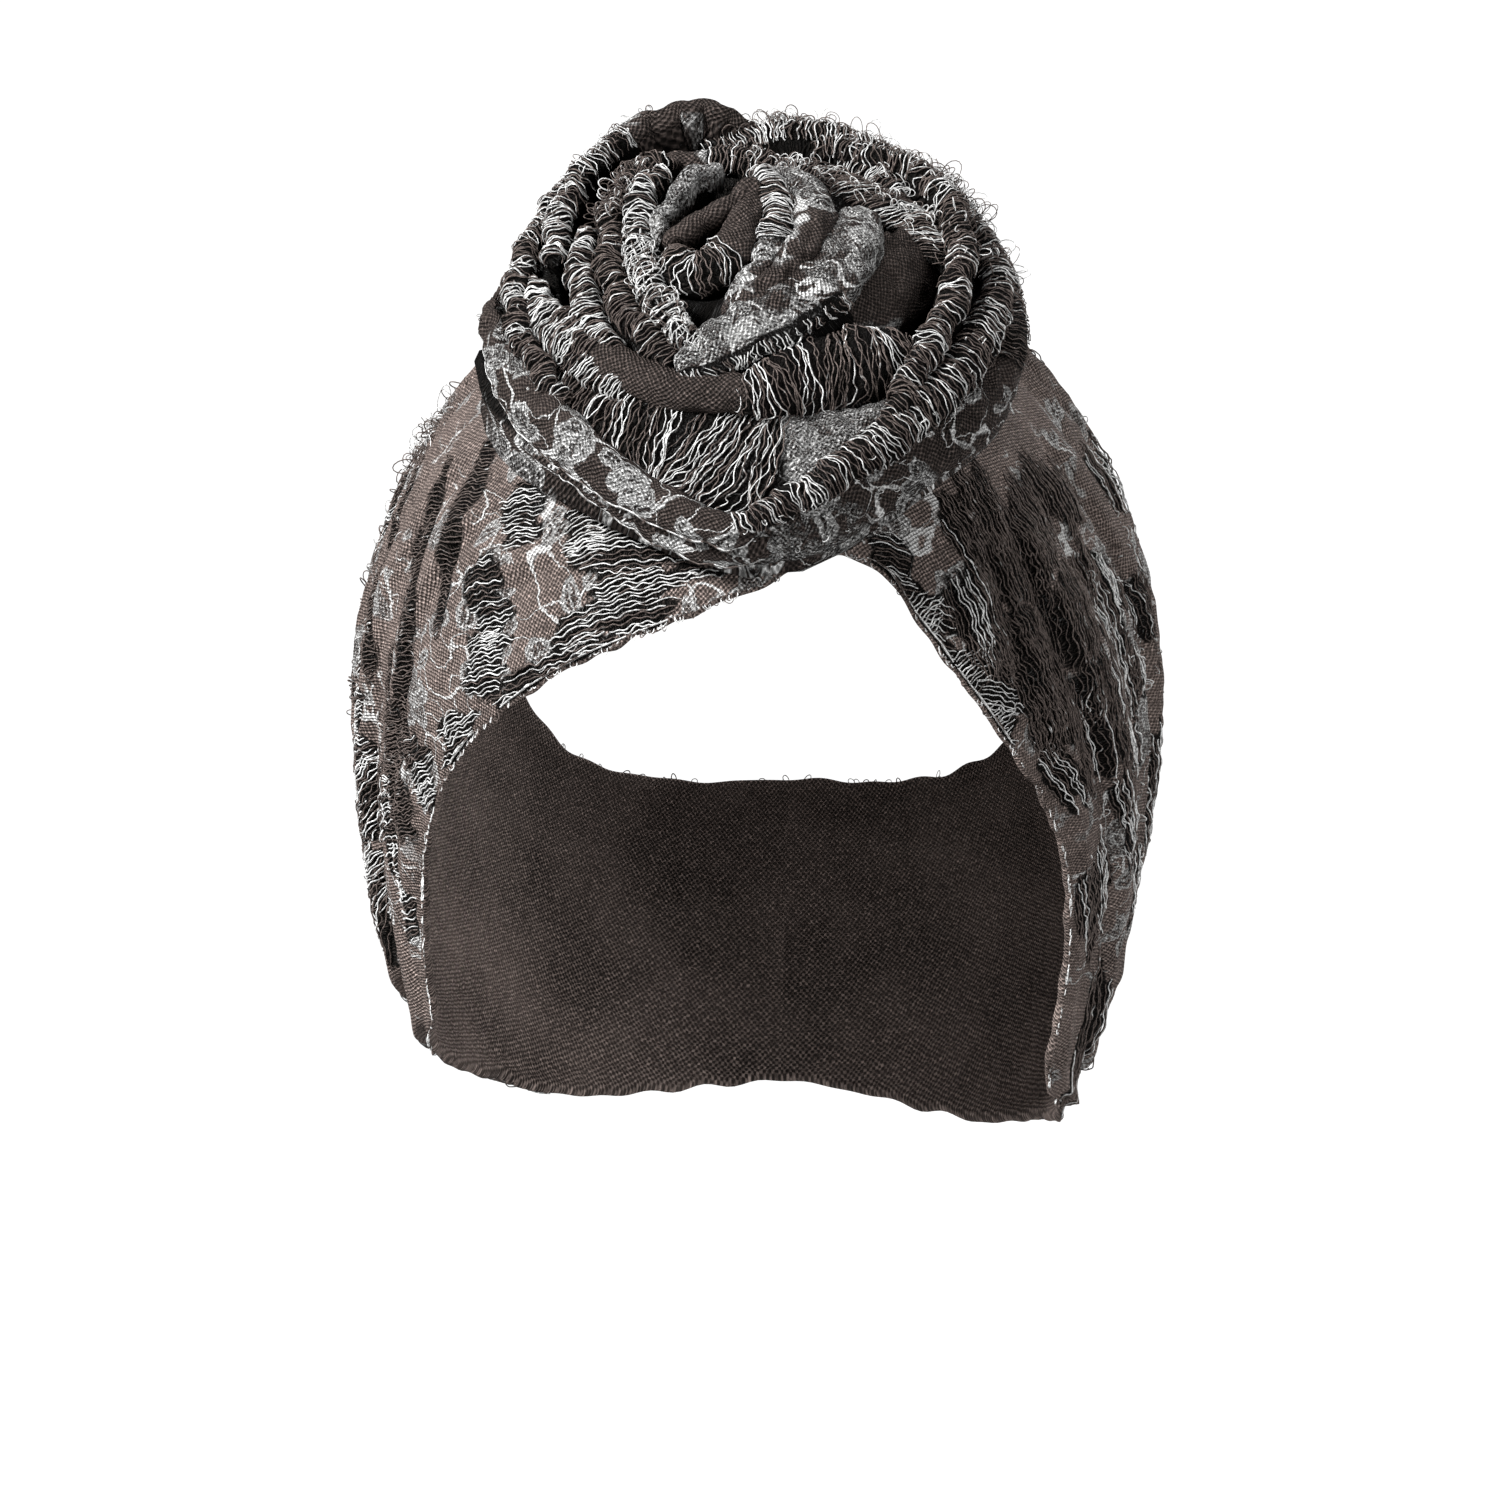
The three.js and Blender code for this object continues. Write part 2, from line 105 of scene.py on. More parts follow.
# Open ladders in the band's cloth. "at" and "off" place each one on the loop in degrees. Its
# half length along the yarns and half width over them are in millimetres. "lay" turns the
# yarns from the loop's direction, in degrees. "white" is the share of pale yarn: a share under
# nought has no pale yarn at all, and makes a crinkled brown column.
LADDERS = {"columns": ("at", "off", "half_yarn", "half_stack", "lay", "white"), "rows": (
    (-13, -25.5, 10, 7.5, -6, 0.9), (-13, -33, 9, 6, 4, 0.95), (-3, -27.5, 7, 6, 2, 0.8),
    (-34.5, -27, 5, 9, -13, 0.75), (-38, -34, 6, 7, -14, 0.85), (-49, -39, 6, 5, -9, 0.95),
    (-21, -35.5, 5, 4.5, 5, 0.95), (-37, -11, 3.8, 29, -26, -0.3), (-55, -22, 3.4, 25, -30, -0.3),
    (-76, -17, 7, 14, -37, 0.7), (-70, -33, 8, 15, -33, -0.3), (-84, -38, 5, 17, -41, 0.75),
    (-58, 18, 6, 5, 43, 0.6), (-27, -17.5, 5, 9, -14, 0.9), (-60, -5, 3.6, 26, -28, -0.3),
    (-62, -38, 4.5, 8, -15, 0.7), (-95, -28, 7, 16, -30, 0.75), (-66, 8, 5, 14, -20, 0.3),
    (33, -15, 11, 5.5, -50, -0.3), (34, -28, 8, 7, -45, 0.55), (21, -28.5, 4.5, 8, 0, 0.65),
    (29, -33.5, 4.5, 7, 5, 0.7), (43, -37.5, 6, 9, 14, 0.75), (47, -30, 13, 8, -27, -0.3),
    (44, -5, 9, 9, -40, -0.3), (60, -12, 9, 11, -16, 0.5), (80, -25, 9, 12, -6, 0.45),
    (90, -40, 11, 8, -5, 0.3), (118, -40, 14, 6, -5, 0.25), (60, 10, 9, 8, -20, 0.35),
    (62, -38, 9, 4, 0, 0.4), (98, -12, 13, 9, -8, 0.4), (38, -21, 8, 10, -46, -0.3),
    (52, -16, 8, 11, -38, -0.3), (54, -34, 8, 7, -22, -0.3), (68, -30, 8, 9, -16, 0.25),
    (70, -3, 8, 9, -12, 0.4), (74, -14, 7, 8, -8, 0.5), (88, -28, 9, 8, 4, 0.5),
    (27, -31, 3.5, 4, 58, 0.95), (36, -35.5, 3.5, 4, 58, 0.95), (45, -38.5, 3.5, 4, 60, 0.95),
    (-47, -13, 2.8, 21, -28, -0.3), (-66, -28, 3.2, 18, -32, -0.3), (-88, -18, 3.2, 20, -35, -0.3),
    (-18, -24, 5, 6, 4, 0.95), (-31, -38.5, 8, 3, -3, 0.9), (-22, -37.5, 8, 2.5, 3, 0.9),
    (40, -14, 10, 8, -42, -0.3), (50, -23, 8, 12, -38, -0.3), (58, -30, 8, 14, -30, -0.3),
    (30, -19, 7, 5, -40, 0.2), (40, -31, 6, 8, -36, -0.3), (66, -20, 8, 16, -30, 0.3),
    (-92, -5, 4.5, 12, -47, 0.8), (-104, -15, 4.5, 11, -45, 0.85), (-113, -23, 4.5, 9, -42, 0.7),
    (-76, 11, 3.5, 10, -46, 0.5), (-85, 3, 4.5, 9, -47, 0.85))}
LADDERS_BEHIND, LADDERS_ABOVE = 30, 16      # scattered round the sides and over the crown
# The open share also sets how dark the painted shade in a ladder's gaps is.
BROWN_DEPTH, PALE_DEPTH = 0.56, 0.44        # how open brown ladders are, and how much more others
GAP_PITCH = 0.8                             # between the fine yarns drawn in a ladder
# Near-black painted shade for the open gaps of ladders and for the covered wound cores.
GAP_SHADE_COLOUR = (0.005, 0.0045, 0.004)
# Each cloth's colour as a share of the cloth colour: painted light and shade, the same cloth
# painted much paler on the band and darker on the rosette.
PAINTED_LIGHT_SHARES = {"band cloth": 2.05, "collar cloth": 0.57, "rosette cloth": 0.62}

# Printed places on the band: size in millimetres and how thickly the ink lies there.
PRINTED = {"columns": ("at", "off", "size", "ink"), "rows": (
    (-27, -18, 13, 1.0), (-24, -28, 9, 0.9), (-32, -32, 10, 1.0), (-44, -34, 10, 1.0),
    (-42, -24, 7, 0.7), (-2, -31, 14, 1.0), (-62, -24, 8, 0.8), (-92, -40, 10, 0.9),
    (-18, -36, 10, 1.0), (47, -22, 9, 0.9), (61, -25, 9, 1.0), (34, -28, 9, 1.0),
    (24, -24, 10, 0.7), (68, -8, 14, 0.9), (82, -20, 16, 0.9), (88, -34, 12, 0.7),
    (74, 6, 14, 0.7), (-78, -10, 14, 0.8), (-70, 14, 12, 0.8), (100, -30, 12, 0.7),
    (-24, -26, 7, 1.0), (-26, -36, 7, 1.0), (-52, -31, 9, 1.0), (-57, -35, 8, 1.0),
    (-9, -33, 8, 1.0), (-36, -24, 6, 1.0), (-41, -27, 7, 1.0), (-47, -27, 7, 1.0),
    (-46, -31, 7, 1.0), (-58, -38, 7, 1.0), (-63, -40, 6, 1.0),
    (-31, -15, 8, 1.0), (-24, -24, 8, 1.0), (-22, -29, 9, 1.0), (-30, -34, 7, 1.0),
    (-58, -12, 6, 1.0), (-52, -18, 6, 1.0), (44, -22, 9, 1.0), (60, -24, 8, 1.0),
    (24, -24, 8, 1.0))}
PRINTS_BEHIND, THIN_INK = 46, 0.26          # scattered places, and the ink between all places

# ---- rosette --------------------------------------------------------------------------------
ROSETTE_MIDDLE = np.array([3.3, -61.0, 59.0]) + HEAD_MIDDLE
EYE_X, EYE_Y = -9.0, 6.0
CORE_RADIUS = 45.0      # for the map of a turn's core
# Above these heights each wound core is painted near-black, painted shade deep between the folds
# that cover it.
COLLAR_SHADED, CORE_SHADED = (18, 22), (11, 16)     # heights over the band where folds cover it

# Folds of the rosette, outermost first. Each row is a section: angle round the eye in degrees,
# reach from the eye, height of the crest and half width of the fold, in millimetres.
#   round   how far the crest stands over its sides, as a share of the half width
#   lean    how far the fold faces outwards, in degrees
#   ink     how thickly its print lies, and wash how much stippled grey; under nought is none
#   rungs   slant of its crosswise yarns in degrees, and white their pale share
#   stray   how untidily those yarns lie, where 1 is tidy
#   bare, bare_after    shares of the fold's length between which its cloth is open
#   spread  part of the crest that is open, from -1 to 1
#   seams   where a single yarn runs along the fold, as an angle from its crest in radians
# A pair for ink, wash, rungs or white changes from the first to the second along the fold.
FOLDS = {
    "rosette_collar": [
        dict(name="lower layer", round=0.5, lean=60, ink=1.0, wash=0.3, seams=(1.2, 1.4), rows=(
            (176, 41, 7, 1.6), (192, 42, 8.5, 2), (207, 42.5, 9.5, 2.2), (222, 43.5, 10, 2.4),
            (236, 45.5, 11, 3), (248, 48.5, 11, 3.6), (259, 52, 10.4, 4), (267, 55.3, 9.4, 4),
            (275, 58, 8.6, 3.6), (283, 59.5, 8, 2.6))),
        dict(name="left collar", round=0.42, lean=56, ink=(0.3, 0.75), seams=(1.3, 1.42), rows=(
            (150, 39.6, 7, 2), (166, 41.4, 11, 2.4), (180, 42.3, 14, 2.4), (197, 42.6, 15.6, 3.4),
            (213, 43.2, 16.8, 5), (229, 45, 17.4, 5.6), (244, 47.7, 17.2, 4.9),
            (256, 51.4, 16.4, 4.2), (265, 54.6, 15.4, 3.8), (272, 57.8, 14.4, 3.4),
            (280, 60, 13.4, 2.8))),
        dict(name="outer flank", round=0.45, lean=62, ink=0.6, wash=(0.75, 0.1), rows=(
            (268, 55.5, 10.5, 4), (286, 59, 10, 5), (297, 58.6, 10.7, 5.2), (312, 57, 12, 5.6),
            (330, 58.1, 11.2, 5.4), (344, 59.2, 10, 4.6), (356, 59.2, 9, 3.4),
            (366, 58.8, 8, 2.4))),
        dict(name="rim", round=0.95, lean=40, ink=0.2, wash=0.2, rungs=(8, -4), white=0.55,
             stray=1.3, rows=(
            (276, 58.5, 15, 1.8), (288, 57, 17, 2.6), (304, 54, 19.2, 3.4),
            (317, 53.6, 19.6, 3.8), (330, 53.6, 19.5, 4.1), (343, 54.2, 18.8, 4.1),
            (356, 55.9, 17.2, 3.7), (368, 57.5, 15.3, 3.1), (380, 57.8, 14, 2.6))),
        dict(name="outer wrap", round=0.7, lean=42, ink=0.3, wash=0.2, rungs=8, white=(0.14, 0.7),
             bare=0.12, rows=(
            (336, 58.4, 9.6, 2.6), (348, 59.4, 11.8, 3.6), (360, 58.8, 13.4, 4),
            (374, 57, 15, 3.9), (389, 54.7, 18.6, 3.9), (400, 52.4, 20, 3.9), (412, 50, 21, 3.9),
            (424, 47.5, 23, 3.9), (434, 45.6, 22, 3.9), (444, 43.8, 20.5, 3.9),
            (456, 41, 20, 3.4))),
        dict(name="left roll", round=1.0, lean=30, ink=0.25, wash=(0.0, 0.2), rungs=(4, -6),
             white=(0.4, 0.25), stray=1.3, rows=(
            (114, 43, 19, 1.4), (122, 42.2, 20, 1.9), (133, 41.2, 20, 2.2), (145, 39.8, 19, 2.2),
            (158, 38.2, 19.2, 2.2), (172, 36.9, 21.3, 2.2), (186, 37, 22, 2.3),
            (202, 37.9, 22.5, 2.3), (222, 39, 22, 2), (232, 40, 20.5, 1.6))),
        dict(name="hood", round=1.05, lean=24, ink=0.2, wash=(-0.3, 0.6), white=(0.35, 0.6),
             bare=0.46, rows=(
            (77, 42, 20, 1.1), (82, 43.5, 23.5, 1.5), (88, 44, 26.5, 2), (95, 44, 27.5, 2.4),
            (104, 43.5, 27.5, 2.6), (113, 42, 26.5, 2.7), (123, 40, 25.5, 2.7),
            (135, 37, 25, 2.7), (149, 33.5, 25.5, 2.6), (163, 31, 25.5, 2.5),
            (176, 29.5, 25.5, 2.2)))],
    "rosette_outer_turn": [
        dict(name="trough", round=0.3, lean=26, ink=0.35, wash=(0.3, 1.0), rungs=(14, -26),
             white=(0.25, 0.65), stray=1.7, bare_after=0.64, rows=(
            (214, 35, 19, 2), (228, 35.4, 20, 4.4), (242, 37.2, 20.4, 7), (256, 39.8, 20.2, 9),
            (269, 42.4, 19.8, 10), (281, 44.8, 19, 10.4), (294, 47, 18.2, 10.2),
            (306, 48.8, 17.8, 8.6), (317, 49.3, 17.8, 5.6), (326, 48.8, 18, 2.6))),
        dict(name="filler", round=0.5, lean=18, ink=0.3, wash=0.4, rungs=30, white=0.4, rows=(
            (72, 37, 20, 3.4), (60, 37, 21, 4.6), (44, 38.5, 21.4, 5.2), (30, 41.5, 21.4, 5.2),
            (18, 45, 21, 4.4), (8, 47.5, 19.5, 3))),
        dict(name="top ridge", round=0.95, lean=14, ink=0.6, wash=0.4, rungs=5, white=0.72, rows=(
            (80, 46.5, 20, 2.4), (70, 47.4, 21.4, 3), (59, 46.8, 22, 3.2), (50, 45.6, 22, 3.2),
            (42, 44.9, 21.4, 3), (34, 45.5, 20.4, 2.4))),
        dict(name="right rope", round=1.1, lean=20, ink=0.2, wash=0.1, rungs=(-6, 6), white=0.3,
             stray=1.3, rows=(
            (314, 50, 21.2, 1.8), (321, 49.5, 22.6, 2.4), (333, 47.4, 24, 2.6),
            (345, 47.4, 24, 2.6), (357, 48.2, 23.4, 2.6), (368, 49.4, 22.6, 2.6),
            (380, 50.6, 23.4, 2.6), (391, 50.7, 24, 2.5), (401, 48.6, 24, 2.3),
            (412, 45.4, 23.4, 2.2), (424, 43, 22.6, 2))),
        dict(name="lower left", round=0.75, lean=30, ink=(0.3, -0.5), wash=(0.0, -0.5), white=0.3,
             bare_after=0.3, rows=(
            (198, 29.2, 24.4, 2), (216, 29.6, 25.8, 3), (236, 30.8, 26.6, 3.9),
            (254, 32.2, 27, 4.2), (270, 34, 27.2, 4), (284, 35.6, 27, 3.4),
            (292, 36.6, 26.2, 2.4))),
        dict(name="lower right", round=0.5, lean=34, ink=0.0, rungs=-8, white=0.35, stray=1.8,
             rows=(
            (279, 36, 25.5, 2), (288, 36.5, 26.5, 4.4), (300, 36, 26.5, 6.4),
            (314, 37.5, 25, 7.4), (326, 40.5, 24, 7), (337, 44.5, 22.5, 4.6))),
        dict(name="white petal", round=0.75, lean=32, ink=0.9, wash=0.9, white=0.8, rows=(
            (160, 37.2, 17.6, 2), (170, 36.4, 18.6, 2.6), (188, 33.6, 21.6, 3.2),
            (206, 32, 23.6, 3.8), (223, 32, 24.6, 3.8), (238, 33.2, 24.4, 3),
            (250, 34.4, 23, 2)))],
    "rosette_middle_turn": [
        dict(name="brown ladder", round=1.05, lean=18, ink=0.1, white=0.5, rows=(
            (152, 25.4, 25.4, 1.6), (165, 24.8, 26.6, 2.3), (181, 23.9, 27.2, 2.6),
            (198, 24.4, 27.6, 2.8), (215, 26, 27.6, 2.8), (229, 27.8, 27.2, 2.4),
            (242, 29.4, 26.6, 1.8))),
        dict(name="petal slope", round=0.25, lean=44, ink=(0.5, -0.1), wash=-0.4, rows=(
            (300, 29, 27, 4), (324, 29.5, 26, 6.5), (337, 31.5, 25, 8), (351, 34.5, 23.5, 8.5),
            (363, 38, 22, 8), (372, 41.5, 20, 7), (380, 44.5, 17.5, 5), (387, 46.5, 15, 3))),
        dict(name="flower petal", round=0.4, lean=18, ink=(0.8, 1.0), wash=(1.4, 0.75), rungs=4,
             white=0.8, bare_after=0.55, spread=(0.35, 1.0), rows=(
            (262, 31, 29.5, 2.4), (269, 29, 30.5, 4), (280, 26.5, 31.5, 5.4), (295, 24, 32, 6.2),
            (315, 23.5, 32, 6.4), (333, 24.5, 31.5, 6.4), (351, 26.5, 31, 6.2),
            (367, 29, 30, 5.8), (381, 31.5, 28.5, 4.8), (392, 32.5, 26.5, 3.2))),
        dict(name="brown roll", round=1.1, lean=16, ink=0.1, white=0.1, stray=1.2, rows=(
            (104, 29, 29, 1.6), (114, 27.5, 30, 2.2), (124, 25.5, 30.5, 2.6), (136, 24, 30, 2.7),
            (151, 21, 30, 2.7), (170, 18.5, 30, 2.7), (194, 18.5, 30.5, 2.7),
            (219, 20, 30.5, 2.6), (238, 23, 30.5, 2.5), (251, 25.5, 30, 2.4),
            (262, 28.5, 29.5, 2))),
        dict(name="small top fold", round=0.9, lean=10, ink=0.1, wash=0.1, white=0.35, bare=0.3,
             rows=(
            (112, 29, 25.5, 1.8), (100, 29.5, 27, 2.6), (86, 29.5, 28, 3), (72, 29.5, 28, 3.1),
            (58, 30.5, 27, 3), (44, 31, 25, 2.4)))],
    "rosette_inner_turn": [
        dict(name="white roll", round=1.1, lean=12, ink=0.5, wash=0.3, rungs=(0, 10), white=0.75,
             stray=1.5, rows=(
            (108, 24, 30.5, 1.6), (118, 22.5, 31.5, 2.2), (132, 19, 32, 2.7),
            (151, 15, 32.5, 2.8), (182, 12.5, 32.5, 2.9), (219, 13.5, 32.5, 3),
            (242, 17, 32.5, 3), (257, 21, 32, 2.8), (267, 24.5, 31.5, 2.4), (273, 27, 30.5, 2))),
        dict(name="right petal", round=0.6, lean=20, ink=(0.9, 0.2), wash=(0.95, -0.2), rows=(
            (73, 31, 25, 2.2), (64, 30.5, 26.5, 3), (52, 28, 29, 4), (37, 25.5, 31, 4.4),
            (21, 23, 32.5, 4.2), (4, 20.5, 33.2, 3.6), (-17, 18.5, 33.5, 3),
            (-39, 17.5, 33.5, 2.6), (-57, 18.5, 33, 2.2), (-70, 20, 32, 1.9),
            (-77, 22, 31, 1.6))),
        dict(name="yarn petal", round=0.8, lean=16, ink=0.5, wash=(0.3, 0.5), white=0.85,
             bare_after=0.56, rows=(
            (71, 26, 29.5, 1.8), (59, 22, 31.5, 2.6), (44, 18.5, 33, 3), (22, 15.5, 34, 3),
            (-2, 14, 34.5, 2.9), (-29, 13.5, 34, 2.8), (-51, 15, 33.5, 2.6), (-66, 18, 33, 2.3),
            (-76, 21.5, 32, 1.9)))],
    "rosette_bud": [
        dict(name="thin roll", round=1.1, lean=6, ink=1.0, wash=1.1, rows=(
            (80, 21, 33, 1.4), (96, 18, 34, 1.8), (109, 15.5, 34, 1.9), (123, 12.5, 33.5, 1.8),
            (142, 10.5, 33.5, 1.7), (164, 9, 33.5, 1.5), (181, 8.5, 33, 1.2))),
        dict(name="eye roll", round=0.85, lean=10, ink=0.1, rungs=4, white=0.3, bare=0.58,
             stray=1.2, rows=(
            (71, 19, 32.5, 1.6), (58, 15.5, 34, 2.6), (43, 11.5, 34.5, 3.5), (15, 8, 35, 4.2),
            (-25, 7, 35.5, 4.5), (-64, 8, 35.5, 4.4), (-89, 9, 35, 4.2), (-109, 9, 34.5, 3.8),
            (-134, 7.5, 34.5, 3), (-162, 6.5, 34, 1.8))),
        dict(name="upper bud fold", round=1.0, lean=0, ink=0.05, rows=(
            (50, 15, 33.5, 1.6), (58, 11, 34.5, 2), (69, 7.5, 35, 2.2), (93, 5, 35, 2.2),
            (138, 3.5, 35, 2.1), (181, 5, 34.5, 1.8), (204, 6.5, 33.5, 1.4)))]}
TURNS = tuple(FOLDS)
FOLD_DEPTH = 7.0        # how far a fold's sides run down between its neighbours
SECTION_STEP = 0.85     # between sections along a fold
ARC_POINTS = 19         # over the crest of a fold
ARC_END = math.radians(118)
SINK = 5.0              # how far the wound core lies under the folds
SLENDER = 3.6           # folds of a smaller half width swell and sway the most
PRINT_SHIFT = (40, 17)  # from one fold's place on the printed cloth to the next one's
YARN_STEP = 0.5         # between points along a loose yarn
RUNG_REACH = 0.95 * ARC_END
RUNG_SWAY = 9           # how far the slant of the rungs sways along a fold, in degrees
SEAM_YARN = {"white": 0.56, "free": 0.6, "thickness": 1.2}

# ---- frayed places --------------------------------------------------------------------------
HEM_LOOPS = (("front", 128, 330), ("rear", 180, 160))   # edge, degrees either way, how many
# Worn places on the band: at, off and spread in degrees, how many loops, and their size in mm.
WORN_PLACES = (
    (-58, 20, 8, 90, 3.4), (-76, -12, 15, 60, 2.2), (-84, -32, 14, 40, 1.8), (-66, 6, 10, 30, 2.0),
    (-62, 26, 7, 50, 2.0), (-70, 19, 7, 50, 1.8), (-79, 11, 8, 60, 1.8), (-88, 2, 8, 60, 1.6),
    (-97, -7, 9, 50, 1.4), (-108, -17, 9, 40, 1.4), (70, -8, 16, 70, 2.0), (84, -24, 15, 50, 1.8),
    (64, 12, 12, 30, 1.8))
# Worn folds: name, from and to as shares of its length, how many loops, size in mm, pale share.
WORN_FOLDS = (
    ("outer wrap", 0.3, 0.95, 190, 2.8, 0.4), ("top ridge", 0.0, 1.0, 110, 2.2, 0.8),
    ("left roll", 0.0, 0.8, 60, 1.2, 0.6), ("hood", 0.35, 0.9, 60, 1.5, 0.5),
    ("brown roll", 0.12, 0.36, 80, 2.4, 0.15), ("rim", 0.0, 0.9, 36, 1.1, 0.8),
    ("left collar", 0.0, 0.5, 16, 1.0, 0.6), ("filler", 0.0, 1.0, 150, 2.3, 0.55),
    ("right rope", 0.45, 1.0, 60, 1.8, 0.5), ("small top fold", 0.4, 0.9, 40, 2.0, 0.3),
    ("white roll", 0.4, 1.0, 150, 1.9, 0.55), ("outer flank", 0.0, 0.5, 20, 1.1, 0.7))

# ---- camera and lights ----------------------------------------------------------------------
# Turn and rise in degrees, lens and sensor in millimetres, shift in widths of the sensor, and
# the rest in metres.
CAMERA = {"aim": (0.0, 0.0, -0.097), "turn": 3.5, "rise": 3.0, "distance": 1.4, "lens": 168.0,
          "sensor": 36.0, "shift": -0.006, "nearest": 0.05, "farthest": 20.0}
LIGHT_AIM = (0.0, -0.03, -0.06)
# Name, place and width in metres, and share of the key light's power.
LIGHTS = (("key light", (-1.0, -0.85, 0.7), 0.35, 1.0),
          ("fill light", (1.05, -1.1, -0.05), 0.8, 0.26),
          ("back light", (0.9, 1.1, 0.5), 0.9, 0.3),
          ("top light", (0.1, 0.2, 1.1), 0.7, 0.1))
AMBIENT = 0.02
# The floor's half width, its front edge, where it starts to rise, the sweep and the wall.
FLOOR_HALF, FLOOR_FRONT, FLOOR_BEND, SWEEP, WALL_TOP = 2600.0, -2400.0, 1900.0, 500.0, 2200.0
# The paper's grey, how bright the camera sees it, and how much it glows on the cloth.
PAPER_GREY, PAPER_SEEN, PAPER_GLOW = 0.25, 0.95, 0.03


# ---- small helpers --------------------------------------------------------------------------
def column(table, name):
    index = table["columns"].index(name)
    return np.array([row[index] for row in table["rows"]], float)


def between(table, name, at):
    """Value of a column between its rows, with no overshoot past either row."""
    x, y = column(table, table["columns"][0]), column(table, name)
    rise = np.diff(y) / np.diff(x)
    before, after = np.r_[rise[0], rise], np.r_[rise, rise[-1]]
    flat = before * after <= 0
    slope = np.where(flat, 0.0, 2 * before * after / np.where(flat, 1.0, before + after))
    at = np.clip(at, x[0], x[-1])
    i = np.clip(np.searchsorted(x, at) - 1, 0, len(x) - 2)
    width = x[i + 1] - x[i]
    t = (at - x[i]) / width
    s0, s1 = slope[i] * width, slope[i + 1] * width
    a, b = y[i], y[i + 1]
    return a + t * (s0 + t * (3 * (b - a) - 2 * s0 - s1 + t * (2 * (a - b) + s0 + s1)))


def smooth(low, high, x):
    t = np.clip((np.asarray(x, float) - low) / (high - low), 0, 1)
    return t * t * (3 - 2 * t)


def mix(a, b, t):
    return a + (b - a) * t


def unit(vectors):
    """Vectors of length one."""
    return vectors / np.maximum(np.linalg.norm(vectors, axis=-1, keepdims=True), 1e-6)


def ripple(u, v, seed, waves=7, low=1.0, high=3.0):
    """Uneven ripples of about unit height, for u and v in radians, with no seam round u."""
    dice = np.random.default_rng(seed)
    total = np.zeros(np.broadcast(u, v).shape)
    for _ in range(waves):
        along = round(float(dice.uniform(low, high) * dice.choice([-1, 1])))
        over = dice.uniform(low, high) * dice.choice([-1, 1])
        total = total + np.sin(along * u + over * v + dice.uniform(0, ANY_PHASE))
    return total / math.sqrt(waves)


# ---- surface of the head and of the band ----------------------------------------------------
def head_radius(d):
    """Distance from the head's middle to its skin along unit directions."""
    above = 1 / np.sqrt((d[:, 0] / HALF_WIDTH) ** 2 + (d[:, 1] / HALF_DEPTH) ** 2
                        + (d[:, 2] / CROWN) ** 2)
    down = np.maximum(-d[:, 2], 1e-6)
    inside, outside = np.zeros(len(d)), np.minimum(2 * HALF_DEPTH, CHIN / down)
    for _ in range(34):
        r = (inside + outside) / 2
        narrowing = 1 - (down * r / CHIN) ** TAPER
        within = np.hypot(d[:, 0] * r / HALF_WIDTH, d[:, 1] * r / HALF_DEPTH) < narrowing
        inside, outside = np.where(within, r, inside), np.where(within, outside, r)
    return np.where(d[:, 2] >= 0, above, inside)


def loop_direction(around, off):
    """Directions from the head's middle, for degrees round the band's loop and off to its rear."""
    a, o = np.radians(around)[:, None], np.radians(off)[:, None]
    return np.cos(o) * (np.cos(a) * FORWARD + np.sin(a) * SIDEWAYS) + np.sin(o) * BACKWARD


def on_head(around, off, lift):
    d = loop_direction(around, off)
    return d * (head_radius(d) + lift)[:, None] + HEAD_MIDDLE


def band_edges(around):
    """The band's front and rear edge, in degrees off its loop."""
    return between(BAND_EDGES, "front", around), between(BAND_EDGES, "rear", around)


def short_turn(around, at):
    """Degrees round the loop from one place to others, the short way."""
    return (around - at + 180) % 360 - 180


def near(around, off, at, centre):
    """Distances in millimetres along the loop and over it from a place on the band."""
    along = short_turn(around, at) * MM_PER_DEGREE * math.cos(math.radians(centre))
    return along, (off - centre) * MM_PER_DEGREE


def pleat_strength(around, off):
    """Pleats die away where the rosette lies on them."""
    d = loop_direction(around, off)
    p = d * head_radius(d)[:, None]
    reach = np.hypot(p[:, 0] - ROSETTE_MIDDLE[0], p @ BACKWARD)
    return np.where(d @ FORWARD < 0, 1.0, smooth(FLAT_WITHIN, PLEATED_BEYOND, reach))


def ladder_rows():
    """The ladders of the table, and like ones scattered over the band's sides and crown."""
    rows = [dict(zip(LADDERS["columns"], row)) for row in LADDERS["rows"]]
    dice = np.random.default_rng(12)

    def scatter(at, off, longest, stacks, lay):
        values = (at, off, dice.uniform(6, longest), dice.uniform(*stacks),
                  dice.uniform(-lay, lay), dice.choice([0.1, 0.3, 0.6]))
        rows.append(dict(zip(LADDERS["columns"], values)))

    for _ in range(LADDERS_BEHIND):
        at = dice.uniform(82, 170) * dice.choice([-1, 1])
        scatter(at, mix(*band_edges(at), dice.uniform(0.08, 0.92)), 14, (4, 7), 10)
    for _ in range(LADDERS_ABOVE):
        scatter(dice.uniform(-90, 90), dice.uniform(24, 52), 12, (4, 8), 12)
    return rows


def ladder_reach(row, over):
    """Middle and half length of a ladder's yarns, where over runs from -1 to 1 along its stack."""
    share = np.sqrt(np.clip(1 - over * over, 0.02, 1))
    sway = np.sin(over * 4 + row["at"]) + 0.6 * np.sin(over * 9 + row["off"])
    ragged = 1 + 0.16 * np.sin(over * 7 + row["off"]) + 0.12 * np.sin(over * 17 + row["at"])
    return 0.22 * row["half_yarn"] * sway, row["half_yarn"] * (0.25 + 0.75 * share) * ragged


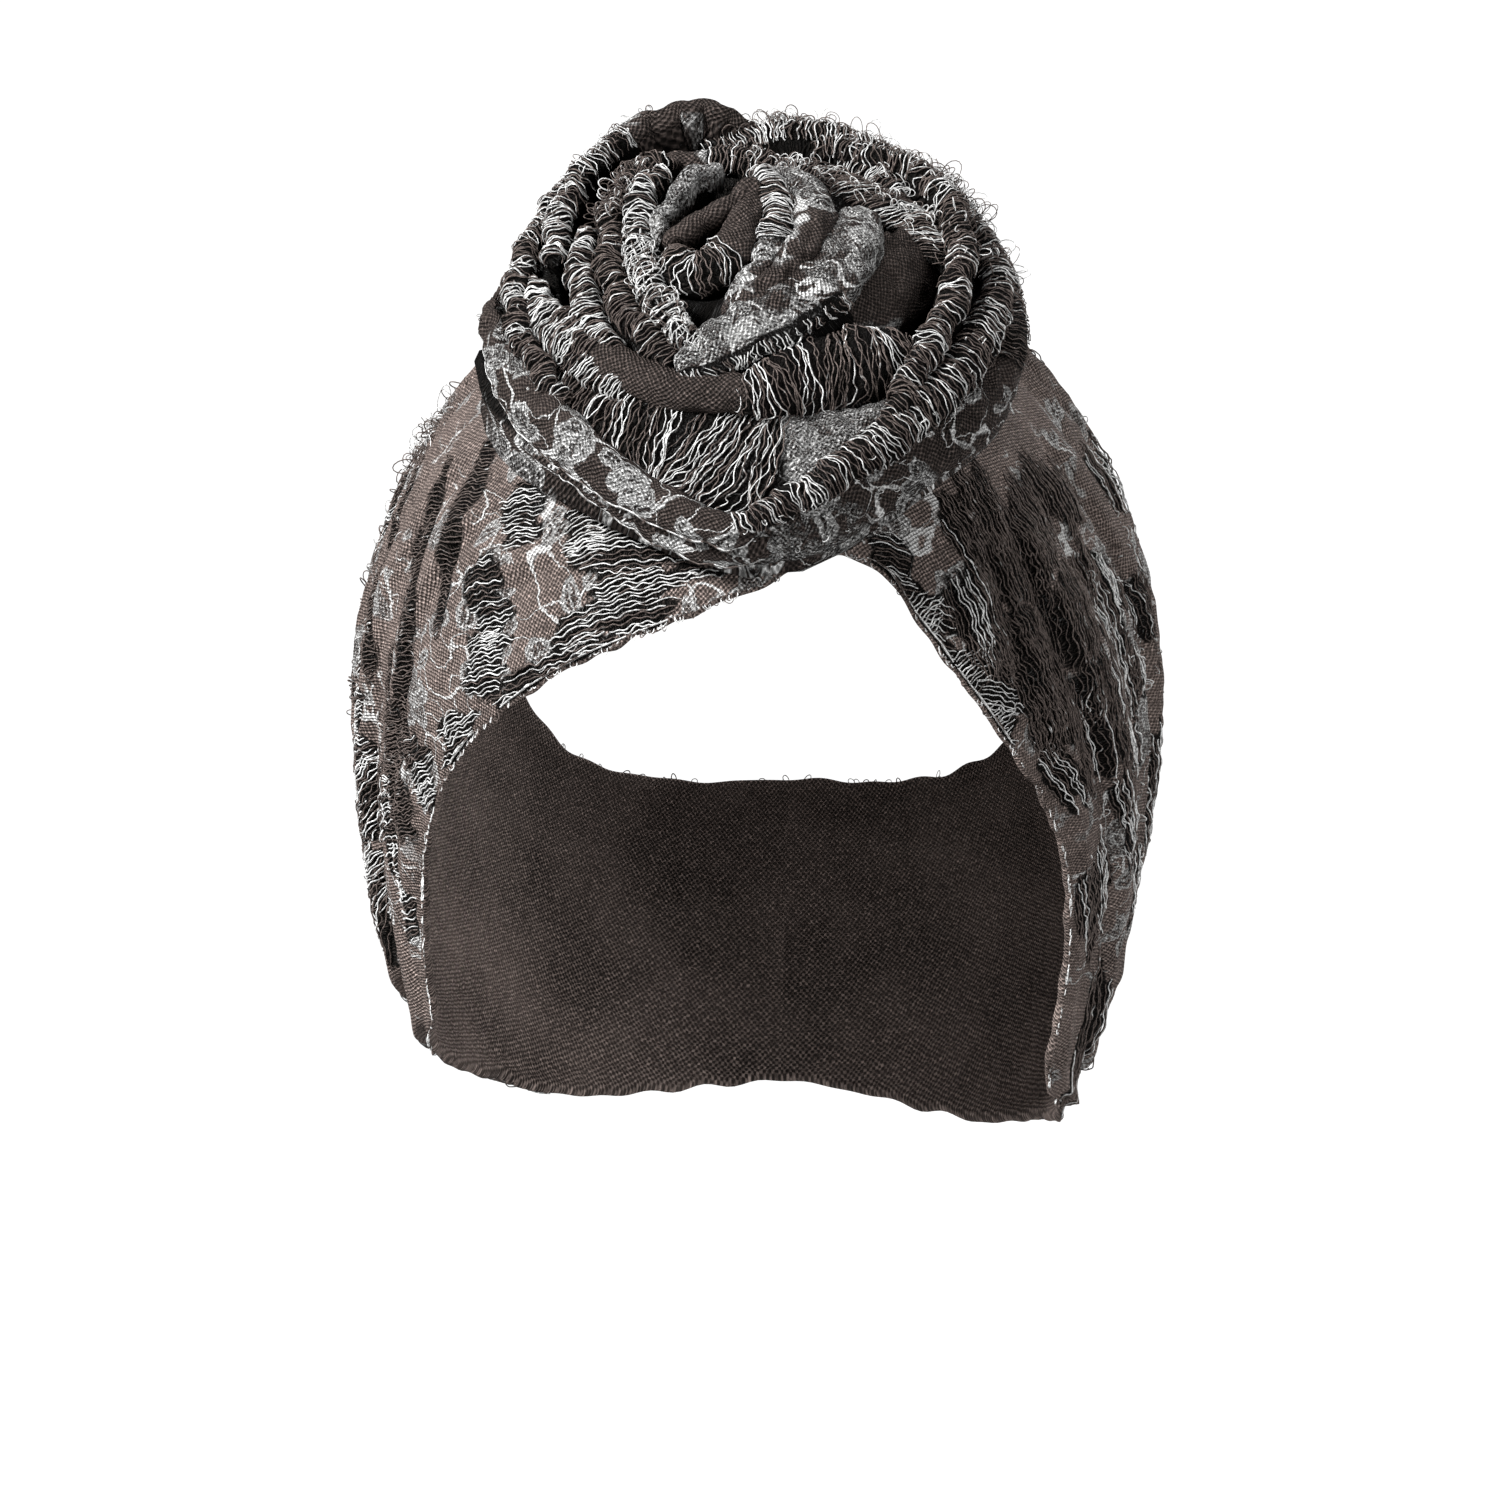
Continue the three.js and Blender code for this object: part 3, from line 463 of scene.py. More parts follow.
def ladder_mask(around, off, rows):
    """How far the cloth is open at places on the band; brown ladders are only half open. The cloth
    sinks there, and its open share is also painted near-black as painted shade.
    """
    mask = np.zeros(len(around))
    for row in rows:
        x, y = near(around, off, row["at"], row["off"])
        turn = math.radians(row["lay"])
        over = (y * math.cos(turn) - x * math.sin(turn)) / row["half_stack"]
        middle, half = ladder_reach(row, over)
        along = (x * math.cos(turn) + y * math.sin(turn) - middle) / half
        inside = 1 - smooth(0.82, 1.1, np.abs(along))
        depth = BROWN_DEPTH + PALE_DEPTH * min(1.0, max(0.0, 2.5 * row["white"]))
        mask = np.maximum(mask, depth * inside * (1 - smooth(0.9, 1.0, np.abs(over))))
    return mask


def printed_mask(around, off):
    """How thickly the ink lies: at the table's places, and at scattered ones behind."""
    dice = np.random.default_rng(5)
    spots = [(*row, 0.55) for row in PRINTED["rows"]]
    spots += [(dice.uniform(60, 300), dice.uniform(-34, 55), dice.uniform(7, 15), 0.8, 0.5)
              for _ in range(PRINTS_BEHIND)]
    mask = np.full(len(around), THIN_INK)
    for at, centre, size, ink, full in spots:
        x, y = near(around, off, at, centre)
        mask = np.maximum(mask, ink * (1 - smooth(full, 1.1, np.hypot(x, y) / size)))
    return mask


def pleat_relief(around, across):
    """Height of the band's pleats and creases over its wall."""
    u = np.radians(around)
    place = across + between(FAN, "shift", around)
    place = place + 0.006 * ripple(u, 5 * across, 3, low=2, high=6)
    crests = [row[0] + row[2] * np.sin(3 * u + 40 * row[0]) for row in PLEATS["rows"]]
    heights = column(PLEATS, "height")
    relief = np.zeros(len(around))
    for i, crest in enumerate(crests):
        before = crests[i - 1] if i else crest - 0.07
        after = crests[i + 1] if i + 1 < len(crests) else crest + 0.1
        x = np.where(place < crest, (crest - place) / (crest - before) * STEEP_FRONT,
                     (place - crest) / (after - crest) * EASY_BACK)
        swell = 0.72 + 0.38 * np.sin((2 + i % 3) * u + 1.7 * i)
        relief += heights[i] * swell * np.clip(1 - np.clip(x, 0, 1) ** 1.8, 0, 1) ** 0.72
    dice = np.random.default_rng(41)
    for _ in range(CREASES):
        middle, spread = dice.uniform(-178, 178), dice.uniform(10, 34)
        where, width = dice.uniform(0.0, 1.2), dice.uniform(0.008, 0.02)
        height = dice.uniform(0.4, 1.1) * dice.choice([1, 1, -0.9])
        turn = short_turn(around, middle)
        x = (place - where - dice.uniform(-0.0012, 0.0012) * turn) / width
        relief += height * np.exp(-x * x) * (1 - smooth(0.55, 1.0, np.abs(turn) / spread))
    return relief


def band_lift(around, off, ladders):
    """Height of the band's face over the head, and how far the cloth is open there."""
    front, rear = band_edges(around)
    across = (off - front) / (rear - front)
    sizes = bpy.context.scene.headband_band
    u, v = np.radians(around), np.radians(off)
    edge = smooth(0.0, 0.03, across) * smooth(0.0, 0.03, 1 - across)
    relief = pleat_relief(around, across) * mix(0.35, 1.0, edge) * sizes.pleats
    relief += 0.16 * sizes.crumple * ripple(u, v, 7, waves=16, low=14, high=44)
    relief += 0.09 * sizes.crumple * ripple(u, v, 8, waves=18, low=40, high=90)
    mask = ladder_mask(around, off, ladders)
    crinkle = ripple(u, v, 9, waves=14, low=50, high=110)
    relief = relief - 0.5 * mask * edge + 0.16 * mask * crinkle
    return WALL + relief * pleat_strength(around, off) * mix(0.25, 1.0, edge), mask


# ---- meshes ---------------------------------------------------------------------------------
def new_object(name, points, faces, edges=()):
    mesh = bpy.data.meshes.new(name)
    mesh.from_pydata((np.asarray(points) * MM).tolist(), edges, faces)
    mesh.update()
    piece = bpy.data.objects.new(name, mesh)
    bpy.context.scene.collection.objects.link(piece)
    return piece


def ring_faces(rings, size, closed=False):
    """Faces between rings of points, and from the last ring to the first if closed."""
    count = rings if closed else rings - 1
    i, j = np.meshgrid(np.arange(count), np.arange(size), indexing="ij")
    k, m = (i + 1) % rings, (j + 1) % size
    corners = (i * size + j, k * size + j, k * size + m, i * size + m)
    return np.stack(corners, -1).reshape(-1, 4).tolist()


def values_of(items, name, size=1, kind=np.int64):
    """One property of all items of a mesh, with a row for each if it has several numbers."""
    values = np.zeros(len(items) * size, kind)
    items.foreach_get(name, values)
    return values if size == 1 else values.reshape(-1, size)


def point_values(piece, name, values):
    layer = piece.data.attributes.new(name, "FLOAT", "POINT")
    layer.data.foreach_set("value", np.asarray(values, np.float32))


def cloth_map(piece, places, seam):
    """Places on the flat cloth, in units of 100 mm, with a turn of the loop added past its seam."""
    mesh = piece.data
    layer = mesh.uv_layers.new(name="cloth")
    flat = np.asarray(places)[values_of(mesh.loops, "vertex_index")] / MAP_UNIT
    starts = values_of(mesh.polygons, "loop_start")
    face = np.repeat(np.arange(len(starts)), values_of(mesh.polygons, "loop_total"))
    high = np.maximum.reduceat(flat[:, 0], starts)[face]
    flat[:, 0] += np.where(high - flat[:, 0] > seam / MAP_UNIT / 2, seam / MAP_UNIT, 0)
    layer.data.foreach_set("uv", flat.astype(np.float32).ravel())


def outward(piece):
    """Turns all faces over if the closed shell is inside out."""
    mesh = piece.data
    points = values_of(mesh.vertices, "co", 3, float)
    mesh.calc_loop_triangles()
    corners = values_of(mesh.loop_triangles, "vertices", 3)
    a, b, c = (points[corners[:, i]] for i in range(3))
    if np.einsum("ij,ij->i", a, np.cross(b, c)).sum() < 0:
        mesh.flip_normals()


def finish_piece(piece, material, slot, *nodes):
    piece.data.materials.clear()
    piece.data.materials.append(material)
    piece.data.shade_smooth()
    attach(piece, "root")
    if nodes:
        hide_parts(*nodes)


# ---- shader helpers -------------------------------------------------------------------------
def math_node(operation, swapped=False):
    """One kind of reckoning with a Value, as one Math node."""
    def apply(self, other=0.0):
        return self.graph.calc(operation, *((other, self) if swapped else (self, other)))
    return apply


class Value:
    """A socket that can be reckoned with like a number."""

    def __init__(self, graph, socket):
        self.graph, self.socket = graph, socket

    __add__, __sub__ = math_node("ADD"), math_node("SUBTRACT")
    __mul__, __truediv__ = math_node("MULTIPLY"), math_node("DIVIDE")
    __rsub__, __rtruediv__ = math_node("SUBTRACT", True), math_node("DIVIDE", True)
    __abs__ = math_node("ABSOLUTE")


class Graph:
    """Adds nodes to one tree, and links or sets each input that it is given."""

    def __init__(self, tree):
        self.tree = tree

    def feed(self, socket, value):
        value = value.socket if isinstance(value, Value) else value
        if isinstance(value, bpy.types.NodeSocket):
            self.tree.links.new(value, socket)
        else:
            socket.default_value = value

    def add(self, kind, inputs=None, **settings):
        node = self.tree.nodes.new(kind)
        for name, value in settings.items():
            setattr(node, name, value)
        for name, value in (inputs or {}).items():
            self.feed(node.inputs[name], value)
        return node

    def result(self, kind, inputs=None, output=0, **settings):
        """One output of a new node."""
        return Value(self, self.add(kind, inputs, **settings).outputs[output])

    def calc(self, operation, *values, clamp=False):
        inputs = dict(enumerate((*values, 0.0, 0.0)[:3]))
        return self.result("ShaderNodeMath", inputs, operation=operation, use_clamp=clamp)

    def most(self, first, *others):
        return self.calc("MAXIMUM", first, self.most(*others)) if others else first

    def vector(self, operation, a, b=(0.0, 0.0, 0.0), output=0):
        return self.result("ShaderNodeVectorMath", {0: a, 1: b}, output, operation=operation)

    def scaled(self, a, scale):
        return self.result("ShaderNodeVectorMath", {0: a, "Scale": scale}, operation="SCALE")

    def noise(self, place, scale, detail=2.0, roughness=0.5, output="Fac"):
        inputs = {"Vector": place, "Scale": scale, "Detail": detail, "Roughness": roughness}
        return self.result("ShaderNodeTexNoise", inputs, output)

    def stray(self, place, scale, amount, detail=2.0):
        """A vector that wanders about nought, by up to half the amount either way."""
        sway = self.noise(place, scale, detail, output="Color")
        return self.scaled(self.vector("SUBTRACT", sway, (0.5, 0.5, 0.5)), amount)

    def ramp(self, value, low, high):
        inputs = {"Value": value, "From Min": low, "From Max": high}
        return self.result("ShaderNodeMapRange", inputs, "Result",
                           interpolation_type="SMOOTHSTEP", clamp=True)

    def blend(self, factor, a, b):
        return self.result("ShaderNodeMix", {0: factor, 2: a, 3: b}, data_type="FLOAT")

    def tint(self, factor, a, b):
        return self.result("ShaderNodeMix", {0: factor, 6: a, 7: b}, 2, data_type="RGBA")

    def parts(self, vector):
        node = self.add("ShaderNodeSeparateXYZ", {"Vector": vector})
        return [Value(self, socket) for socket in node.outputs]

    def value(self, name):
        return self.result("ShaderNodeAttribute", output="Fac", attribute_name=name)

    def group(self, tree, inputs):
        node = self.add("ShaderNodeGroup", inputs, node_tree=tree)
        return {socket.name: Value(self, socket) for socket in node.outputs}


def new_group(name, inputs, outputs):
    """An empty shader group: its graph, its inputs, and its last node's sockets."""
    tree = bpy.data.node_groups.new(name, "ShaderNodeTree")
    for label, default in inputs.items():
        kind = "NodeSocketVector" if isinstance(default, tuple) else "NodeSocketFloat"
        socket = tree.interface.new_socket(label, in_out="INPUT", socket_type=kind)
        socket.default_value = default
    for label in outputs:
        tree.interface.new_socket(label, in_out="OUTPUT", socket_type="NodeSocketFloat")
    g = Graph(tree)
    first = g.add("NodeGroupInput").outputs
    given = {label: Value(g, first[label]) for label in inputs}
    return g, given, g.add("NodeGroupOutput").inputs


def new_material(name):
    """A new material, its graph and its Principled shader."""
    material = bpy.data.materials.new(name)
    material.use_nodes = True
    return material, Graph(material.node_tree), material.node_tree.nodes["Principled BSDF"]


def shade_of(colour, share=1.0):
    """A darker or paler share of a colour, for a colour socket."""
    return [share * c for c in colour] + [1.0]


def outline(g, distance, width):
    """A drawn line where a signed distance is near nought."""
    return 1.0 - g.ramp(abs(distance), width * 0.45, width)


# ---- shader groups and materials ------------------------------------------------------------
def plain_weave():
    """Threads over and under each other; Place is in millimetres on the cloth. Its tone darkens
    where a thread dips under, painted shade, and varies at random along slubs and grain.
    """
    if "plain weave" in bpy.data.node_groups:
        return bpy.data.node_groups["plain weave"]
    g, given, result = new_group("plain weave", {"Place": (0, 0, 0), "Pitch": 0.48},
                                 ("Height", "Tone and shade"))
    place = g.vector("ADD", given["Place"], g.stray(given["Place"], 0.45, 0.9, detail=3.0))
    x, y, _ = g.parts(g.scaled(place, math.pi / given["Pitch"]))
    height = g.calc("MULTIPLY_ADD", g.calc("SINE", x) * g.calc("SINE", y), 0.5, 0.5)
    slub = g.ramp(g.noise(g.vector("MULTIPLY", place, (0.45, 1.8, 1.0)), 1.0, 3.0, 0.7), 0.3, 0.7)
    grain = g.ramp(g.noise(place, 1.25, 3.0, 0.7), 0.32, 0.68)
    g.feed(result["Height"], height)
    # Painted shade in the weave's dips, together with the yarn's own slubs and grain.
    g.feed(result["Tone and shade"], g.ramp(height, 0.25, 0.8) * g.blend(slub, 0.35, 1.5)
           * g.blend(grain, 0.35, 1.6))
    return g.tree


def open_ladder():
    """Fine wavy yarns as a height, where the cloth's long threads are missing; the cloth material
    paints the gaps between them with painted shade.
    """
    if "open ladder" in bpy.data.node_groups:
        return bpy.data.node_groups["open ladder"]
    g, given, result = new_group("open ladder", {"Place": (0, 0, 0), "Pitch": GAP_PITCH},
                                 ("Height",))
    x, y, _ = g.parts(g.vector("ADD", given["Place"], g.stray(given["Place"], 0.55, 2.6)))
    wave = g.calc("SINE", y * 2.9) * 0.22
    turn = (x + wave) * (2 * math.pi) / given["Pitch"]
    g.feed(result["Height"], g.calc("MULTIPLY_ADD", g.calc("SINE", turn), 0.5, 0.5))
    return g.tree


def motif_cells(g, place, size, randomness):
    """The way from the nearest motif's middle, in millimetres, and three chances for that motif."""
    cell = g.add("ShaderNodeTexVoronoi", {"Vector": g.scaled(place, 1 / size), "Scale": 1.0,
                                          "Randomness": randomness}, voronoi_dimensions="2D")
    chance = g.add("ShaderNodeSeparateColor", {"Color": cell.outputs["Color"]}).outputs
    away = g.vector("SUBTRACT", place, g.scaled(cell.outputs["Position"], size))
    return away, [Value(g, chance[name]) for name in ("Red", "Green", "Blue")]


def flowers(g, place, speckle):
    """Open five-petalled flowers: their ink, and where they pucker the cloth and darken it with
    painted shade.
    """
    away, (spin, growth, luck) = motif_cells(g, place, 15.0, 0.75)
    x, y, _ = g.parts(away)
    reach = g.vector("LENGTH", away, output=1)
    turn = g.calc("ARCTAN2", y, x) + spin * ANY_PHASE
    whole = g.calc("MULTIPLY_ADD", growth, 2.4, 4.0)
    lobes = g.calc("POWER", abs(g.calc("COSINE", turn * 2.5)), 0.6)
    rim = whole * (lobes * 0.42 + 0.58)
    from_rim, share = reach - rim, reach / rim
    core = outline(g, reach - whole * 0.24, 0.5)
    veins = g.ramp(abs(g.calc("SINE", turn * 7.5)), 0.24, 0.06)
    veins = veins * (g.ramp(share, 0.38, 0.45) * g.ramp(share, 0.86, 0.7))
    fill = g.ramp(from_rim, 0.0, -0.4) * (speckle * 0.5)
    shown = g.calc("GREATER_THAN", luck, 0.34)
    ink = g.most(outline(g, from_rim, 0.7), core, veins, fill) * shown
    return ink, g.ramp(from_rim, 0.9, 0.3) * shown


def leaves(g, place):
    """Slim veined leaves: their ink, and where they pucker the cloth and darken it with painted
    shade.
    """
    away, (spin, _, luck) = motif_cells(g, g.vector("ADD", place, (31.0, 17.0, 0.0)), 8.5, 0.9)
    turned = g.result("ShaderNodeVectorRotate", {"Vector": away, "Angle": spin * ANY_PHASE},
                      rotation_type="Z_AXIS")
    x, y, _ = g.parts(turned)
    along = x / 4.2
    blade = (1.0 - along * along) * 1.7
    from_edge = abs(y) - blade
    within = g.ramp(abs(along), 1.0, 0.94)
    rib = outline(g, y, 0.34) * within
    side = abs(g.calc("SINE", g.calc("MULTIPLY_ADD", abs(y), 1.6, x * 2.6)))
    side = g.ramp(side, 0.3, 0.05) * g.ramp(from_edge, 0.0, -0.3)
    shown = g.calc("GREATER_THAN", luck, 0.4) * within
    ink = g.most(outline(g, from_edge, 0.7), rib, side) * within * shown
    return ink, g.ramp(from_edge, 0.7, 0.2) * shown


def floral_print():
    """Open flowers, veined leaves and curling stems in outline, with stippled grey between."""
    if "floral print" in bpy.data.node_groups:
        return bpy.data.node_groups["floral print"]
    g, given, result = new_group(
        "floral print", {"Place": (0, 0, 0), "Coverage": 0.5, "Wash": 0.0}, ("Ink", "Pucker and shade"))
    cloth = given["Place"]
    place = g.vector("ADD", cloth, g.stray(cloth, 0.16, 5.0))
    place = g.vector("ADD", place, g.stray(cloth, 1.1, 0.95))
    grain = g.noise(cloth, 2.1, 3.0, 0.7)
    flower, flower_pucker_shade = flowers(g, place, g.ramp(grain, 0.46, 0.56))
    leaf, leaf_pucker_shade = leaves(g, place)
    stems = outline(g, g.noise(place, 0.055, 1.0) - 0.5, 0.014)
    curl = g.noise(g.vector("ADD", place, (7.0, 3.0, 0.0)), 0.13, 0.0)
    curls = outline(g, curl - 0.56, 0.014) * 0.9
    zone = g.noise(cloth, 0.07, 2.0)
    coverage = g.calc("MULTIPLY_ADD", given["Coverage"], 0.6, -0.25)
    coverage = g.ramp(zone + coverage, 0.42, 0.5)
    worn = g.ramp(grain, 0.22, 0.4)
    lines = g.most(flower, leaf, stems, curls) * coverage * worn
    cloud = g.noise(cloth, 0.22, 4.0, 0.65) - g.calc("MULTIPLY_ADD", given["Wash"], -0.44, 0.86)
    stipple = g.ramp(cloud, -0.1, 0.06) * g.ramp(grain, 0.43, 0.57)
    g.feed(result["Ink"], g.most(lines, stipple))
    # Where the print puckers the cloth: it bumps there, and it is darkened with painted shade.
    pucker = g.most(g.most(flower_pucker_shade, leaf_pucker_shade) * coverage, g.ramp(cloud, -0.14, 0.0))
    folds = g.noise(g.vector("MULTIPLY", cloth, (1.0, 1.6, 1.0)), 1.15, 2.0, 0.6)
    g.feed(result["Pucker and shade"], pucker * g.ramp(folds, 0.56, 0.44))
    return g.tree


def cloth_material(name):
    """Brown-charcoal cloth with a worn print and open ladders, with painted light and shade: a
    paler or darker share for each piece, and painted shade in the ladders' gaps, around the
    puckered print and in the weave's dips.
    """
    if name in bpy.data.materials:
        return bpy.data.materials[name]
    colours = bpy.context.scene.headband_cloth
    material, g, shader = new_material(name)
    place = g.scaled(g.result("ShaderNodeUVMap", uv_map="cloth"), MAP_UNIT)
    ladder, ink, wash = (g.value(layer) for layer in ("ladder", "ink", "wash"))
    weave = g.group(plain_weave(), {"Place": place, "Pitch": colours.thread_pitch / MM})
    threads = g.group(open_ladder(), {"Place": place, "Pitch": GAP_PITCH})
    drawn = g.group(floral_print(), {"Place": g.scaled(place, 1 / colours.print_size),
                                     "Coverage": ink, "Wash": wash})
    # Painted light: the cloth colour is made paler or darker for each piece by its share.
    base = [PAINTED_LIGHT_SHARES[name] * c for c in colours.cloth_colour]
    deep, pale, printed = shade_of(base, 0.08), shade_of(base, 3.6), shade_of(colours.print_colour)
    # Mottle is the cloth's own uneven tone; the weave adds painted shade in its dips.
    mottle = g.noise(place, 0.05, 4.0, 0.6) - 0.5
    shade = g.calc("MULTIPLY_ADD", mottle, 0.4, g.calc("MULTIPLY_ADD", weave["Tone and shade"], 0.42, 0.08))
    colour = g.tint(shade, deep, pale)
    dust = g.ramp(g.noise(place, 1.7, 3.0, 0.7), 0.6, 0.78)
    colour = g.tint(dust * 0.16, colour, printed)
    # Painted shade beside the puckered print, which also dims its ink.
    colour = g.tint(drawn["Pucker and shade"] * 0.75, colour, deep)
    inked = g.calc("MULTIPLY", drawn["Ink"], g.blend(weave["Tone and shade"], 0.4, 1.6), clamp=True)
    colour = g.tint(inked * g.blend(drawn["Pucker and shade"], 1.0, 0.4), colour, printed)
    # Painted shade: open ladders and covered cores darken to near-black, a little less over the
    # fine drawn yarns.
    gap = g.ramp(ladder, 0.1, 0.55) * g.blend(g.ramp(threads["Height"], 0.5, 0.95), 1.0, 0.86)
    g.feed(shader.inputs["Base Color"], g.tint(gap, colour, shade_of(GAP_SHADE_COLOUR)))
    shader.inputs["Roughness"].default_value = 0.9
    shader.inputs["Specular IOR Level"].default_value = 0.1
    height = g.calc("MULTIPLY_ADD", g.noise(place, 0.8, 3.0), 0.6, weave["Height"])
    height = g.blend(ladder, height, threads["Height"] * 1.8)
    height = g.calc("MULTIPLY_ADD", drawn["Ink"], 0.5, height)
    height = g.calc("MULTIPLY_ADD", drawn["Pucker and shade"], -1.0, height)
    bump = {"Height": height, "Strength": 1.0, "Distance": 0.0006}
    g.feed(shader.inputs["Normal"], g.result("ShaderNodeBump", bump, "Normal"))
    return material


def yarn_material():
    """Loose yarns, brown where the print missed them and pale where it caught them."""
    if "loose yarn" in bpy.data.materials:
        return bpy.data.materials["loose yarn"]
    colours = bpy.context.scene.headband_cloth
    material, g, shader = new_material("loose yarn")
    place = g.result("ShaderNodeTexCoord", output="Object")
    patch = g.calc("MULTIPLY_ADD", g.noise(place, 420.0, 2.0), 1.2, -0.6)
    speck = g.ramp(g.noise(place, 1500.0, 3.0, 0.7), 0.34, 0.64)
    brown, white = (g.tint(speck, shade_of(colour, dark), shade_of(colour, light))
                    for colour, dark, light in ((colours.yarn_colour, 0.3, 1.25),
                                                (colours.white_colour, 0.35, 1.0)))
    pale = g.ramp(g.value("white") + patch, 0.42, 0.62)
    g.feed(shader.inputs["Base Color"], g.tint(pale, brown, white))
    shader.inputs["Roughness"].default_value = 0.85
    shader.inputs["Specular IOR Level"].default_value = 0.15
    return material


# ---- settings -------------------------------------------------------------------------------
class HeadbandCloth(bpy.types.PropertyGroup):
    cloth_colour: FloatVectorProperty(
        name="Cloth colour", description="Brown-charcoal of the plain cloth", subtype="COLOR",
        size=3, default=(0.088, 0.07, 0.063), min=0, max=1)
    print_colour: FloatVectorProperty(
        name="Print colour", description="Grey-white of the floral print", subtype="COLOR",
        size=3, default=(0.86, 0.86, 0.85), min=0, max=1)
    yarn_colour: FloatVectorProperty(
        name="Yarn colour", description="Colour of a loose yarn that the print missed",
        subtype="COLOR", size=3, default=(0.14, 0.113, 0.102), min=0, max=1)
    white_colour: FloatVectorProperty(
        name="White yarn colour", description="Colour of a loose yarn that the print caught",
        subtype="COLOR", size=3, default=(0.93, 0.93, 0.92), min=0, max=1)
    thread_pitch: FloatProperty(
        name="Thread pitch", description="Distance between threads of the plain weave",
        unit="LENGTH", subtype="DISTANCE", default=0.00052, min=0.0002, max=0.002, precision=5)
    print_size: FloatProperty(
        name="Print size", description="Size of the printed flowers, as a share of the usual one",
        default=1.0, min=0.3, max=3)


class HeadbandBand(bpy.types.PropertyGroup):
    sections: IntProperty(name="Sections", description="Sections round the band", default=450,
                          min=90, max=520)
    across: IntProperty(name="Points across", description="Points across the outer face",
                        default=150, min=40, max=170)
    pleats: FloatProperty(name="Pleats", description="Height of the pleats, as a share",
                          default=1.0, min=0, max=2)
    crumple: FloatProperty(name="Crumple", description="Height of the fine creases, as a share",
                           default=1.0, min=0, max=3)


class HeadbandYarns(bpy.types.PropertyGroup):
    thickness: FloatProperty(name="Yarn radius", description="Radius of a loose yarn",
                             unit="LENGTH", subtype="DISTANCE", default=0.00013, min=0.00005,
                             max=0.001, precision=5)
    pitch: FloatProperty(name="Yarn pitch", description="Distance between loose yarns",
                         unit="LENGTH", subtype="DISTANCE", default=0.00066, min=0.0003,
                         max=0.004, precision=5)
    wander: FloatProperty(name="Wander", description="How far a loose yarn strays from its line",
                          unit="LENGTH", subtype="DISTANCE", default=0.0002, min=0, max=0.004,
                          precision=5)
    seed: IntProperty(name="Seed", description="Another seed gives another lay of the yarns",
                      default=4, min=0, max=999)


class HeadbandStage(bpy.types.PropertyGroup):
    key_power: FloatProperty(name="Key light", description="Power of the large key light",
                             unit="POWER", default=45.0, min=0, max=500)
    floor_gap: FloatProperty(name="Floor gap", description="Space under the band down to the floor",
                             unit="LENGTH", subtype="DISTANCE", default=0.16, min=0.0, max=1)


# ---- camera, lights and floor ---------------------------------------------------------------
class HEADBAND_OT_stage(bpy.types.Operator):
    """Set the camera, the lights and the pale floor that sweeps up behind"""
    bl_idname = "headband.stage"
    bl_label = "Stage"
    bl_options = {"REGISTER", "UNDO"}

    def hold(self, name, data, place, aim):
        """An object for a camera or a light, turned towards its aim."""
        holder = bpy.data.objects.new(name, data)
        holder.location = place
        holder.rotation_euler = (Vector(aim) - Vector(place)).to_track_quat("-Z", "Y").to_euler()
        bpy.context.scene.collection.objects.link(holder)
        return holder

    def floor(self, gap):
        low = CAD_BOX[0][2] / MM - gap / MM
        profile = [(FLOOR_FRONT, low), (FLOOR_BEND, low)]
        for i in range(1, 13):
            a = math.radians(90 * i / 12)
            profile.append((FLOOR_BEND + SWEEP * math.sin(a), low + SWEEP * (1 - math.cos(a))))
        profile.append((FLOOR_BEND + SWEEP, low + WALL_TOP))
        points = [(x, y, z) for y, z in profile for x in (-FLOOR_HALF, FLOOR_HALF)]
        faces = [(2 * i, 2 * i + 1, 2 * i + 3, 2 * i + 2) for i in range(len(profile) - 1)]
        floor = new_object("floor", points, faces)
        paper, g, shader = new_material("white paper")
        shader.inputs["Base Color"].default_value = (PAPER_GREY, PAPER_GREY, PAPER_GREY, 1)
        shader.inputs["Roughness"].default_value = 0.9
        shader.inputs["Emission Color"].default_value = (1, 1, 1, 1)
        seen = g.result("ShaderNodeLightPath", output="Is Camera Ray")
        glow = g.calc("MULTIPLY_ADD", seen, PAPER_SEEN, PAPER_GLOW)
        g.feed(shader.inputs["Emission Strength"], glow)
        floor.data.materials.append(paper)
        floor.data.shade_smooth()

    def execute(self, context):
        scene = context.scene
        sizes = scene.headband_stage
        lens = bpy.data.cameras.new("camera")
        lens.lens, lens.sensor_width = CAMERA["lens"], CAMERA["sensor"]
        lens.shift_x = CAMERA["shift"]
        lens.clip_start, lens.clip_end = CAMERA["nearest"], CAMERA["farthest"]
        turn, rise = math.radians(CAMERA["turn"]), math.radians(CAMERA["rise"])
        aim = Vector(CAMERA["aim"])
        eye = aim + CAMERA["distance"] * Vector((
            math.sin(turn) * math.cos(rise), -math.cos(turn) * math.cos(rise), math.sin(rise)))
        scene.camera = self.hold("camera", lens, eye, aim)
        self.floor(sizes.floor_gap)
        for name, place, width, share in LIGHTS:
            lamp = bpy.data.lights.new(name, "AREA")
            lamp.shape = "DISK"
            lamp.size = width
            lamp.energy = sizes.key_power * share
            self.hold(name, lamp, place, LIGHT_AIM)
        world = bpy.data.worlds.new("studio")
        world.use_nodes = True
        background = world.node_tree.nodes["Background"]
        background.inputs["Color"].default_value = (1, 1, 1, 1)
        background.inputs["Strength"].default_value = AMBIENT
        scene.world = world
        scene.view_settings.view_transform = "Standard"
        return {"FINISHED"}


